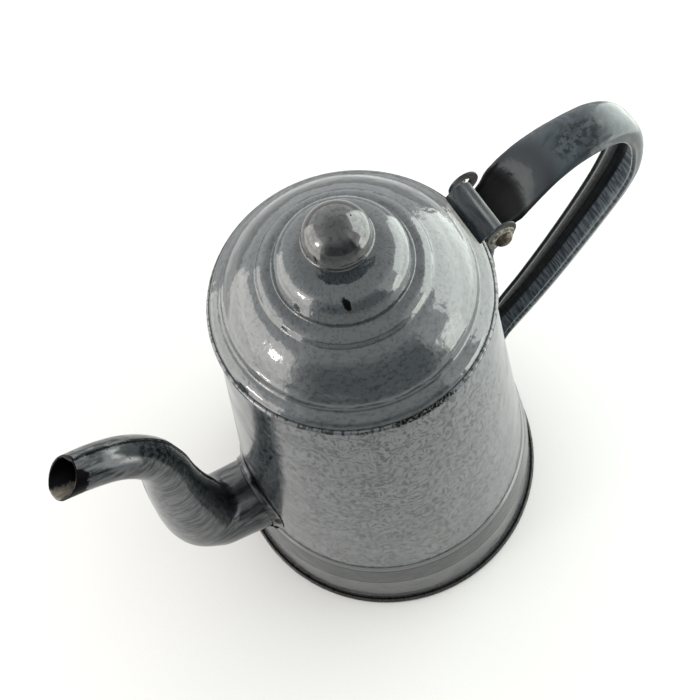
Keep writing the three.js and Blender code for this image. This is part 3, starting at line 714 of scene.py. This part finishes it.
def offset(outline, distance):
    """Outline moved square to itself, to the left of the way it runs."""
    moved = []
    for i, (r, z) in enumerate(outline):
        r0, z0 = outline[max(i - 1, 0)]
        r1, z1 = outline[min(i + 1, len(outline) - 1)]
        length = hypot(r1 - r0, z1 - z0)
        if length < TINY:
            continue
        moved.append((r - distance * (z1 - z0) / length, z + distance * (r1 - r0) / length))
    return moved


def turned(outline, segments=ROUND):
    """Outline of points (r, z) turned about Z; it ends on the axis or closes on itself."""
    verts, faces, rings = [], [], []
    for r, z in outline:
        start = len(verts)
        if abs(r) < TINY:
            verts.append((0, 0, z))
        else:
            verts += [on_circle(r, 360 * i / segments, z) for i in range(segments)]
        rings.append(range(start, len(verts)))
    pairs = list(zip(rings, rings[1:]))
    if abs(outline[0][0]) > TINY:
        pairs.append((rings[-1], rings[0]))
    for low, high in pairs:
        for i in range(segments):
            j = (i + 1) % segments
            quad = [low[i % len(low)], low[j % len(low)], high[j % len(high)], high[i % len(high)]]
            face = list(dict.fromkeys(quad))
            if len(face) > 2:
                faces.append(face)
    return verts, faces


def loft(sections, capped=True):
    """Skin through a row of closed sections with as many points each."""
    count = len(sections[0])
    verts = [point for section in sections for point in section]
    faces = []
    for k in range(len(sections) - 1):
        for i in range(count):
            j = (i + 1) % count
            a, b = k * count, (k + 1) * count
            faces.append([a + i, a + j, b + j, b + i])
    if capped:
        faces.append(list(range(count)))
        faces.append(list(range(len(verts) - count, len(verts))))
    return verts, faces


def joined(*shells):
    verts, faces = [], []
    for some_verts, some_faces in shells:
        start = len(verts)
        verts += list(some_verts)
        faces += [[start + i for i in face] for face in some_faces]
    return verts, faces


def moved(shell, matrix):
    verts, faces = shell
    return [matrix @ Vector(v) for v in verts], faces


def mesh_from(name, shell):
    verts, faces = shell
    mesh = bpy.data.meshes.new(name)
    mesh.from_pydata([Vector(v) * MM for v in verts], [], faces)
    tidy = bmesh.new()
    tidy.from_mesh(mesh)
    bmesh.ops.remove_doubles(tidy, verts=tidy.verts, dist=TINY)
    bmesh.ops.recalc_face_normals(tidy, faces=tidy.faces)
    tidy.to_mesh(mesh)
    tidy.free()
    return mesh


def scene_object(name, mesh):
    obj = bpy.data.objects.new(name, mesh)
    bpy.context.scene.collection.objects.link(obj)
    return obj


def baked(obj):
    """Mesh of an object with its modifiers applied; the object itself goes."""
    depsgraph = bpy.context.evaluated_depsgraph_get()
    mesh = bpy.data.meshes.new_from_object(obj.evaluated_get(depsgraph))
    bpy.data.objects.remove(obj)
    return mesh


def piece(name, mesh, material, body, slot, *nodes, sharp=SHARP_ANGLE, seen=True):
    """Piece that rides on a body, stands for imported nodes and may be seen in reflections."""
    if not isinstance(mesh, bpy.types.Mesh):
        mesh = mesh_from(name, mesh)
    mesh.shade_smooth()
    mesh.set_sharp_from_angle(angle=radians(sharp))
    mesh.materials.clear()
    mesh.materials.append(material)
    obj = scene_object(name, mesh)
    obj.visible_glossy = seen
    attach(obj, body)
    if nodes:
        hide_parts(*nodes)
    return obj


def plate(outline, y_low, y_high, holes=(), edge=0.25):
    """Outline in the XZ plane, with round holes (x, z, r), as a plate with softened edges."""
    curve = bpy.data.curves.new("plate", "CURVE")
    curve.dimensions = "2D"
    curve.fill_mode = "BOTH"
    curve.extrude = (y_high - y_low) / 2 - edge
    curve.bevel_depth = edge
    curve.bevel_resolution = 2
    curve.offset = -edge
    rings = [outline, *(arc(x, z, r, 0, 360, SMALL)[:-1] for x, z, r in holes)]
    for ring in rings:
        spline = curve.splines.new("POLY")
        spline.points.add(len(ring) - 1)
        for point, (x, z) in zip(spline.points, ring):
            point.co = (x, z, 0, 1)
        spline.use_cyclic_u = True
    mesh = baked(scene_object("plate", curve))
    upright = Matrix.Translation((0, (y_low + y_high) / 2, 0)) @ Matrix.Rotation(pi / 2, 4, "X")
    shell = [upright @ v.co for v in mesh.vertices], [list(p.vertices) for p in mesh.polygons]
    bpy.data.meshes.remove(mesh)
    return shell


# Body and base


def bar(radius, half, segments):
    return turned([(0, -half), (radius, -half), (radius, half), (0, half)], segments)


def strainer_cutter():
    """Bars through the wall behind the spout, five across the middle row."""
    bars = []
    for row in range(-STRAINER_RINGS, STRAINER_RINGS + 1):
        in_row = 2 * STRAINER_RINGS + 1 - abs(row)
        for i in range(in_row):
            across = (i - (in_row - 1) / 2) * STRAINER_PITCH
            up = row * STRAINER_PITCH * sin(pi / 3)
            bars.append(moved(bar(STRAINER_HOLE_R, 10, 20), along_root(up, across)))
    return joined(*bars)


def root_axes():
    outward = Vector((-cos(ROOT_TILT), 0, sin(ROOT_TILT)))
    upward = Vector((sin(ROOT_TILT), 0, cos(ROOT_TILT)))
    return Vector((-wall_radius(SPOUT_ROOT_Z), 0, SPOUT_ROOT_Z)), outward, upward


def along_root(up, across):
    root, outward, upward = root_axes()
    turn = Matrix((FAR, upward, outward)).transposed().to_4x4()
    return Matrix.Translation(root + upward * up + FAR * across) @ turn


def cut_by(shell, bars):
    blank = scene_object("blank", mesh_from("blank", shell))
    cutter = scene_object("cutter", mesh_from("cutter", bars))
    cut = blank.modifiers.new("cut", "BOOLEAN")
    cut.operation = "DIFFERENCE"
    cut.solver = "EXACT"
    cut.object = cutter
    mesh = baked(blank)
    bpy.data.objects.remove(cutter)
    return mesh


def make_body(material):
    rows = 40
    heights = [body_low.z + (BODY_TOP_Z - 2 - body_low.z) * i / rows for i in range(rows + 1)]
    outer = [(wall_radius(z), z) for z in heights]
    roll = arc(ROLL_CENTRE_R, BODY_TOP_Z, ROLL_R, -70, 180, 20)
    hollow = arc(ROLL_CENTRE_R, BODY_TOP_Z, ROLL_R - SHEET, 180, -70, 14)
    inner = [(wall_radius(z) - SHEET, z) for z in reversed(heights)]
    neck = [(wall_radius(BODY_TOP_Z), BODY_TOP_Z - 0.4), (MOUTH_R - 0.05, BODY_TOP_Z)]
    # The sheet comes up, turns over outwards and ends under the roll
    outline = [*outer, *neck, *reversed(hollow), *roll, *inner]
    mesh = cut_by(turned(outline), strainer_cutter())
    piece("body_wall", mesh, material, "pot", "body_enamel", "body_shell", sharp=30)


def band_radius(z):
    return wall_radius(z) + GAP + SHEET


def make_base(material):
    outline = rounded([
        (wall_radius(BAND_TOP_Z + 1.0) + 0.05, BAND_TOP_Z + 1.0),
        (band_radius(BAND_TOP_Z) - 0.1, BAND_TOP_Z),
        (band_radius(BAND_TOP_Z - 1.4) + 0.1, BAND_TOP_Z - 1.4),
        (band_radius(STRIP_LOW_Z + 1.4) + BAND_BEAD * 0.8, STRIP_LOW_Z + 1.4),
        (band_radius(STRIP_LOW_Z) + BAND_BEAD, STRIP_LOW_Z),
        (band_radius(STRIP_LOW_Z - 1.3), STRIP_LOW_Z - 1.3),
        (BAND_FOOT_R - 0.9, SEAM_HEIGHT + 5),
        (BAND_FOOT_R, SEAM_HEIGHT + 0.4),
    ], 0.5)
    inner = [(r - SHEET, z) for r, z in reversed(outline[1:])]
    notch = moved(bar(ROOT_R + FILLET + 2 * GAP, 30, 96), along_root(0, 0))
    band = cut_by(turned([*outline, *inner]), notch)
    piece("foot_band", band, material, "pot", "body_enamel", "base_band", sharp=60)
    ring_outer = FOOT_R - PAN_RIM
    ring_inner = ring_outer - PAN_RING
    under = [
        (0, 0), (ring_inner, 0), (ring_inner + PAN_SLOPE, PAN_RISE),
        (ring_outer - PAN_SLOPE, PAN_RISE), (ring_outer, 0),
    ]
    top = [(r, z + SHEET) for r, z in reversed(under)]
    bead = [
        *arc(FOOT_R - FOOT_BEAD, FOOT_BEAD, FOOT_BEAD, -90, 0, 8),
        *arc(FOOT_R - SEAM_BEAD, SEAM_HEIGHT - 0.8, SEAM_BEAD, 0, 120, 10),
        (FOOT_R - 1.8, SEAM_HEIGHT - 0.9),
        (FOOT_R - 1.5, SHEET),
    ]
    pan = turned([*under, *bead, *top])
    piece("foot_pan", pan, material, "pot", "body_enamel", "base_pan", sharp=50)


# Spout


def way_along(curve, i):
    """The way that a curve of (x, z) points runs at one of them."""
    ahead = curve[min(i + 1, len(curve) - 1)] - curve[max(i - 1, 0)]
    return Vector((ahead[0], 0, ahead[1])).normalized()


def riser_stations(per_span=8):
    root_x = -wall_radius(SPOUT_ROOT_Z)
    controls = []
    for (out, up), share in zip(RISER_SHARES, RISER_RADIUS_SHARES):
        radius = TIP_R + (KNEE_R - TIP_R) * share
        controls.append((root_x - out * SPOUT_OUT, SPOUT_ROOT_Z + up * SPOUT_RISE, radius))
    curve = smooth(controls, per_span)
    places = enumerate(curve)
    return [(Vector((x, 0, z)), way_along(curve, i), radius) for i, (x, z, radius) in places]


def round_tube(centre, tangent, reach, angle):
    """Place beside the middle of a tube, at an angle from its top line toward the far side."""
    top = Vector((tangent.z, 0, -tangent.x))
    return centre + top * reach * cos(angle) + FAR * reach * sin(angle)


def ring_at(centre, tangent, radius, sides=48):
    angles = [2 * pi * i / sides for i in range(sides)]
    return [round_tube(centre, tangent, radius, angle) for angle in angles]


def mouth_plane():
    """Middle of the mouth, the way its face looks and the way the spout's tip points."""
    out = -wall_radius(SPOUT_ROOT_Z) - MOUTH_SHARE * SPOUT_OUT
    normal = Vector((-cos(MOUTH_TILT), 0, sin(MOUTH_TILT)))
    return Vector((out, 0, SPOUT_ROOT_Z + SPOUT_RISE)), normal, riser_stations()[TIP_STATION][1]


def cut_at_mouth(tool, fill):
    place, normal, _ = mouth_plane()
    geometry = [*tool.verts, *tool.edges, *tool.faces]
    cut = bmesh.ops.bisect_plane(
        tool, geom=geometry, plane_co=place * MM, plane_no=normal, clear_outer=True,
    )
    if fill:
        edges = [e for e in cut["geom_cut"] if isinstance(e, bmesh.types.BMEdge)]
        bmesh.ops.edgeloop_fill(tool, edges=edges)


def clearance(vert):
    """How far a place on the spout's skin stands off the wall."""
    return hypot(vert.co.x, vert.co.y) / MM - wall_radius(vert.co.z / MM) - GAP


def make_spout(material):
    root, outward, _ = root_axes()
    knee = root + outward * KNEE_OUT_SHARE * SPOUT_OUT
    ends = (-ROOT_R, ROOT_R), (KNEE_OUT_SHARE * SPOUT_OUT, KNEE_R)
    tube = loft([ring_at(root + outward * along, outward, radius) for along, radius in ends])
    ball = moved(turned(arc(0, 0, KNEE_R, -90, 90, 24), 48), Matrix.Translation(knee))
    riser = loft([ring_at(*station) for station in riser_stations()])
    blank = scene_object("blank", mesh_from("blank", joined(tube, ball, riser)))
    remesh = blank.modifiers.new("union", "REMESH")
    remesh.mode = "VOXEL"
    remesh.voxel_size = SKIN_VOXEL * MM
    ease = blank.modifiers.new("ease", "SMOOTH")
    ease.iterations = SKIN_EASE
    mesh = baked(blank)
    skin = bmesh.new()
    skin.from_mesh(mesh)
    cut_at_mouth(skin, False)
    bmesh.ops.delete(skin, geom=[v for v in skin.verts if clearance(v) < 0], context="VERTS")
    for vert in skin.verts:
        if vert.is_boundary and clearance(vert) < 3 * SKIN_VOXEL:
            radius = hypot(vert.co.x, vert.co.y)
            share = (wall_radius(vert.co.z / MM) + GAP) * MM / radius
            vert.co.x *= share
            vert.co.y *= share
    bmesh.ops.recalc_face_normals(skin, faces=skin.faces)
    skin.to_mesh(mesh)
    skin.free()
    spout = piece(
        "spout_skin", mesh, material, "pot", "dark_enamel", "spout_near_half", "spout_far_half",
        sharp=60,
    )
    wall = spout.modifiers.new("wall", "SOLIDIFY")
    wall.thickness = SHEET * MM
    wall.offset = -1


def make_seam(material, name, side, height):
    """A lapped seam along the spout's top, or its underside if `side` is -1.

    It is a raised lip whose far side runs out into the skin.
    """
    stations = riser_stations(10)
    stations = stations[int(len(stations) * LAP_START_SHARE):]
    sections = []
    for i, (centre, tangent, radius) in enumerate(stations):
        share = min(1.0, i / LAP_RISE)
        at_tip = i > len(stations) * LAP_TIP_SHARE
        jitter = draw.uniform(-1, 1) * (LAP_TIP_WAVER if at_tip else LAP_WAVER)
        section = []
        for past, level in LAP_PROFILE:
            spread = past * TIP_R / radius * LAP_SPREAD
            angle = radians(LAP_START + jitter + spread)
            reach = radius - 0.1 + height * level * (share if level > 0 else 1)
            section.append(round_tube(centre, tangent * side, reach, angle))
        sections.append(section)
    mesh = mesh_from(name, loft(sections))
    tool = bmesh.new()
    tool.from_mesh(mesh)
    cut_at_mouth(tool, True)
    tool.to_mesh(mesh)
    tool.free()
    piece(name, mesh, material, "pot", "dark_enamel", sharp=70)


def make_collar(material):
    """Fillet between the spout's root and the wall."""
    root, outward, upward = root_axes()
    count, steps = 96, 6
    profile = [
        (FILLET * (1 - sin(a)) + 0.1, FILLET * (1 - cos(a)) + 0.03)
        for a in np.linspace(0, pi / 2, steps + 1)
    ]
    profile += [(-0.5, FILLET * 0.5), (-0.4, 0.02), (FILLET * 0.6, 0.02)]
    sections = []
    for i in range(count):
        angle = 2 * pi * i / count
        ray = upward * cos(angle) + FAR * sin(angle)
        section = []
        for away, lift in profile:
            point = root + ray * (ROOT_R + away)
            for _ in range(6):
                miss = hypot(point.x, point.y) - wall_radius(point.z) - GAP
                point -= outward * miss
            section.append(point + outward * lift)
        sections.append(section)
    sections.append(sections[0])
    fillet = loft(sections, False)
    piece("spout_fillet", fillet, material, "pot", "dark_enamel", "spout_collar", sharp=60)


# Lid


def lid_outline():
    curves = []
    for shares, steps in ((SKIRT_SHARES, 5), (DOME_SHARES, 6), (RING_SHARES, 5), (BELL_SHARES, 6)):
        curves += smooth([(r * LID_R, LID_EDGE_Z + z * LID_RISE) for r, z in shares], steps)
    return rounded(curves, STEP_ROUND, 3)


def make_lid(material):
    outer = lid_outline()
    inner = offset(outer, SHEET)[::-1]
    lip = arc(LID_R - SHEET / 2, LID_EDGE_Z + LID_EDGE_ROUND, LID_EDGE_ROUND, -180, 0, 8)
    crown = [(NECK_R, CROWN_Z + NECK_TOP), (NECK_R - SHEET, CROWN_Z + NECK_TOP)]
    shell = turned([*lip, *outer[2:], *crown, *inner[:-3]])
    piece("lid_shell", shell, material, "lid", "lid_enamel", "lid_dome", sharp=50)
    top_r = MOUTH_R - SHEET - COLLAR_MOUTH_GAP
    low_r = top_r - COLLAR_LEAN
    low_z = RIM_TOP_Z - COLLAR_DEPTH
    roof_z = LID_EDGE_Z + COLLAR_TOP
    outline = rounded([
        (top_r, roof_z), (top_r, RIM_TOP_Z), (low_r, low_z), (low_r - SHEET, low_z),
        (top_r - SHEET, RIM_TOP_Z), (top_r - SHEET, roof_z),
    ], 0.4)
    piece("lid_collar_ring", turned(outline), material, "lid", "lid_enamel", "lid_collar", sharp=60)


def make_knob(material):
    dome = arc(0, KNOB_Z, KNOB_R, 4, 90, 26)[:-1]
    bead = arc(KNOB_R - 0.15, KNOB_Z - 0.2, KNOB_BEAD, -110, 60, 10)
    low_z = CROWN_Z + 0.5
    under = [(KNOB_R - 0.6, KNOB_Z - 1.0), (KNOB_R - 2, KNOB_Z - 2.6), (NECK_R + 0.7, low_z)]
    outline = [(0, low_z), *reversed(smooth(under, 6)), *bead, *dome, (0, KNOB_Z + KNOB_R)]
    piece("knob", turned(outline, 96), material, "lid", "lid_enamel", "lid_knob", sharp=60)


# Hinge


def make_leaf(material):
    top = smooth([
        (pin_x - LEAF_REACH, pin_z - 0.6 + GAP),
        *((pin_x - LEAF_REACH * back, pin_z + LEAF_CROWN * up) for back, up in LEAF_SHARES),
        (pin_x - KNUCKLE_R * 0.2, pin_z + KNUCKLE_R * 1.05),
    ], 6)
    bend = [tuple(p) for p in top] + arc(pin_x, pin_z, KNUCKLE_R, 80, -170, 30)
    outline = [*bend, *reversed(offset(bend, -LEAF_SHEET))]
    shell = plate(outline, -LEAF_HALF, LEAF_HALF, (), 0.2)
    piece("hinge_leaf", shell, material, "lid", "lid_enamel", "lid_hinge_leaf", sharp=40, seen=False)


def rivet_like(outline, radius, height, seat, steps, place):
    """Outline with a domed head on its seat, turned about its axis and put in its place."""
    dome = arc(0, 0, 1, 0, 90, steps)[:-1]
    head = [*((r * radius, seat + z * height) for r, z in dome), (0, seat + height)]
    return moved(turned([*outline, *head], SMALL), place)


def make_pin(dark, bright):
    """Pin and washer; their own Z points to the near side."""
    place = Matrix.Translation((pin_x, 0, pin_z)) @ Matrix.Rotation(pi / 2, 4, "X")
    low = EAR_HALF + GAP
    high = low + WASHER_SHEET
    seat = high + GAP
    shaft = [*((r, -low - past) for r, past in PIN_TAIL), (PIN_R, -low), (PIN_R, seat)]
    shaft.append((PIN_HEAD_R - 0.3, seat))
    pin = rivet_like(shaft, PIN_HEAD_R, PIN_HEAD_HEIGHT, seat, 10, place)
    piece("pin", pin, dark, "pot", "brown_steel", "hinge_pin", seen=False)
    bore = PIN_R + 0.15
    ring = [
        (bore, low), (WASHER_R - 0.3, low), (WASHER_R, low + 0.3), (WASHER_R - 0.1, high),
        (WASHER_R - 0.7, high + 0.15), (bore, high - 0.25),
    ]
    washer = moved(turned(ring, SMALL), place)
    piece("washer", washer, bright, "pot", "bare_steel", "pin_washer", seen=False)


def make_bracket(material):
    centre = pin_x + EAR_LEAN
    low = BODY_TOP_Z - BRACKET_DROP
    high = BODY_TOP_Z - 2 * ROLL_R
    middle_y = EAR_HALF - EAR_SHEET / 2

    def wall_x(z):
        return sqrt(wall_radius(z) ** 2 - middle_y ** 2) + 2 * GAP

    roll_x = sqrt((ROLL_CENTRE_R + ROLL_R) ** 2 - middle_y ** 2) + 0.45
    leg_z = BODY_TOP_Z - EAR_LEG_DROP
    outline = [
        (wall_x(leg_z), leg_z), (wall_radius(leg_z) + GAP, leg_z),
        (centre + EAR_NECK[0] * EAR_R, pin_z + EAR_NECK[1] * EAR_R),
        *arc(centre, pin_z, EAR_R, *EAR_ANGLES, 34),
        (roll_x, RIM_TOP_Z - 0.6), (roll_x, BODY_TOP_Z - 1.2), (wall_x(high) + 0.3, high),
    ]
    near = plate(outline, -EAR_HALF, -EAR_HALF + EAR_SHEET, [(pin_x, pin_z, PIN_R + 0.2)])
    far = plate(outline, EAR_HALF - EAR_SHEET, EAR_HALF, [(pin_x + 0.5, pin_z + 0.8, WORN_HOLE_R)])
    columns = 24
    back = []
    for depth in (GAP, GAP + EAR_SHEET):
        for z in (low, high):
            reach = wall_radius(z) + depth
            spread = degrees(asin((EAR_HALF - 0.1) / reach))
            turns = [spread * (2 * i / columns - 1) for i in range(columns + 1)]
            back.append([on_circle(reach, turn, z) for turn in turns])
    inner_low, inner_high, outer_low, outer_high = back
    sheet = loft([list(corner) for corner in zip(inner_low, inner_high, outer_high, outer_low)])
    ears = joined(near, far, sheet)
    piece("ears", ears, material, "pot", "dark_enamel", "hinge_bracket", sharp=35, seen=False)


# Handle


def strap_section(width, depth, dish):
    """Closed outline (y, n) of the channel, its edges thickened into round beads."""
    half = width / 2 - STRAP_BEAD
    drop = max(depth - STRAP_SHEET, 0.05)
    angles = np.linspace(0, pi, 200)
    ys = half * np.sign(np.cos(angles)) * np.abs(np.cos(angles)) ** SECTION_ROUNDNESS
    ns = -drop + drop * np.sin(angles) ** SECTION_ROUNDNESS - dish * (1 - (ys / half) ** 2)
    line = np.stack([ys, ns - STRAP_SHEET / 2], 1)
    lengths = np.concatenate([[0], np.cumsum(np.linalg.norm(np.diff(line, axis=0), axis=1))])
    total = lengths[-1]
    bead = 2 * STRAP_BEAD
    ends = bead * (1 - np.cos(np.linspace(0, pi / 2, 7)))
    stops = np.concatenate([ends, np.linspace(bead, total - bead, 26)[1:-1], total - ends[::-1]])
    centre = np.stack([np.interp(stops, lengths, line[:, k]) for k in range(2)], 1)
    tangent = np.gradient(centre, axis=0)
    tangent /= np.linalg.norm(tangent, axis=1)[:, None]
    normal = np.stack([-tangent[:, 1], tangent[:, 0]], 1)
    from_end = np.minimum(stops, total - stops)
    bulge = np.sqrt(np.clip(STRAP_BEAD ** 2 - (from_end - STRAP_BEAD) ** 2, 0, None))
    half_sheet = np.where(from_end < STRAP_BEAD, bulge, np.maximum(bulge, STRAP_SHEET / 2))
    half_sheet = np.maximum(half_sheet, 0.02)
    outer = centre - normal * half_sheet[:, None]
    inner = centre + normal * half_sheet[:, None]
    return np.concatenate([outer, inner[::-1]])


def strap_stations():
    plate_back = 2 * GAP + EAR_SHEET
    foot_back = GAP + STRAP_FLAT
    tab_low = BODY_TOP_Z - BRACKET_DROP
    rows = [(plate_back, tab_low, 0.9, 0), (plate_back, tab_low + STRAP_TAB, 0.95, 0)]
    rise = STRAP_TOP_Z - STRAP_FOOT_Z
    for out, up, width, depth in STRAP_SHARES:
        rows.append((out * STRAP_OUT, STRAP_FOOT_Z + up * rise, width, depth))
    rows += [(foot_back, STRAP_FOOT_Z + STRAP_TAB, 0, 0), (foot_back, STRAP_FOOT_Z, 0, 0)]
    controls = []
    for out, z, width, depth in rows:
        real_width = STRAP_WIDTH_FOOT + (STRAP_WIDTH_TOP - STRAP_WIDTH_FOOT) * width
        real_depth = STRAP_FLAT + (STRAP_DEPTH - STRAP_FLAT) * depth
        controls.append((wall_radius(z) + out, z, real_width, real_depth))
    return smooth(controls, 7)


def make_strap(material):
    curve = strap_stations()
    travelled = 0
    sections = []
    for i, (x, z, width, depth) in enumerate(curve):
        tangent = way_along(curve, i)
        back = Vector((-tangent.z, 0, tangent.x))
        if i:
            travelled += np.linalg.norm((curve[i] - curve[i - 1])[:2])
        dish = STRAP_DISH * exp(-((travelled - DISH_PLACE) / DISH_LENGTH) ** 2)
        origin = Vector((x, 0, z))
        section = strap_section(width, depth, dish)
        sections.append([origin + FAR * y + back * n for y, n in section])
    strap = loft(sections)
    piece("handle", strap, material, "pot", "dark_enamel", "handle_strap", sharp=50, seen=False)


def make_rivets(material):
    upper_stack = 2 * GAP + EAR_SHEET + STRAP_FLAT + GAP
    rows = [
        ("bracket_rivet", BODY_TOP_Z - BRACKET_DROP + RIVET_EDGE, upper_stack),
        ("foot_rivet", STRAP_FOOT_Z + RIVET_EDGE, STRAP_FLAT + 2 * GAP),
    ]
    turn = Matrix.Rotation(pi / 2 - atan(WALL_SLOPE), 4, "Y")
    for name, first_z, stack in rows:
        for i in range(2):
            z = first_z + i * RIVET_SPACING
            place = Matrix.Translation((wall_radius(z), 0, z)) @ turn
            shaft = [*RIVET_TAIL, (RIVET_R, stack)]
            rivet = rivet_like(shaft, RIVET_HEAD_R, RIVET_HEAD, stack, 8, place)
            node = f"{name}_{i + 1}"
            piece(f"{node}_head", rivet, material, "pot", "dark_enamel", node)


# Floor and light


def make_floor(material):
    stops = [FLOOR_HALF * (2 * i / FLOOR_STEPS - 1) for i in range(FLOOR_STEPS + 1)]
    verts = [(x, y, 0) for y in stops for x in stops]
    row = len(stops)
    corners_at = [j * row + i for j in range(FLOOR_STEPS) for i in range(FLOOR_STEPS)]
    faces = [[k, k + 1, k + row + 1, k + row] for k in corners_at]
    floor = scene_object("floor", mesh_from("floor", (verts, faces)))
    floor.data.materials.append(material)


def area_light(name, place, away, width, height, radiance, colour):
    """Soft box at a place; it shines the way opposite to `away`."""
    data = bpy.data.lights.new(name, "AREA")
    data.shape = "RECTANGLE"
    data.size = width * MM
    data.size_y = height * MM
    data.energy = radiance * pi * data.size * data.size_y
    data.color = colour
    light = scene_object(name, data)
    light.visible_camera = False
    turn = Vector(away).to_track_quat("Z", "Y").to_matrix().to_4x4()
    light.matrix_world = Matrix.Translation(Vector(place) * MM) @ turn


def make_world():
    """Bright room behind and overhead, and a dark opening on the side that the camera looks from."""
    world = bpy.data.worlds.new("room")
    bpy.context.scene.world = world
    sky = Tree(world, "Generated", 1)
    around = sky.step(sky.z, *BACK_RISE, BACK_GLOW, TOP_GLOW)
    opening = sky.step(sky.z, *OPENING_RISE, FRONT_GLOW, TOP_GLOW)
    start, end = (tuple(map(radians, edge)) for edge in (OPENING_START, OPENING_END))
    glow = sky.step(sky.turn, *start, around, sky.step(sky.turn, *end, around, opening))
    background = sky.node("Background", {0: (1.0, 1.0, 0.99, 1), 1: glow})
    sky.node("OutputWorld", {0: background})


def make_lights():
    for name, (place, turn, *light) in SCREENS.items():
        area_light(name, place, on_circle(1, turn, 0), *light)
    area_light("lamp", LAMP_AIM + LAMP_WAY * LAMP_DISTANCE, LAMP_WAY, *LAMP)
    bpy.context.scene.view_settings.view_transform = "Standard"


make_camera()
lid_material = lid_enamel()
spout_material = spout_enamel(*mouth_plane())
strap_material = strap_enamel()
brown = steel("brown_steel", (0.075, 0.058, 0.042, 1), (0.018, 0.014, 0.012, 1), 0.7, 0.42)
bright = steel("bare_steel", (0.26, 0.24, 0.2, 1), (0.06, 0.052, 0.043, 1), 0.85, 0.36)
make_body(body_enamel())
make_base(band_enamel())
make_spout(spout_material)
make_seam(spout_material, "spout_seam_top", 1, LAP)
make_seam(spout_material, "spout_seam_low", -1, LAP * 0.5)
make_collar(spout_material)
make_lid(lid_material)
make_knob(knob_enamel())
make_leaf(leaf_enamel())
make_pin(brown, bright)
make_bracket(strap_material)
make_strap(strap_material)
make_rivets(strap_material)
wire = frame["nodes"]["mouth_wire"].data.materials
wire.clear()
wire.append(bright)
make_floor(floor_paper())
make_world()
make_lights()

bpy.context.view_layer.update()
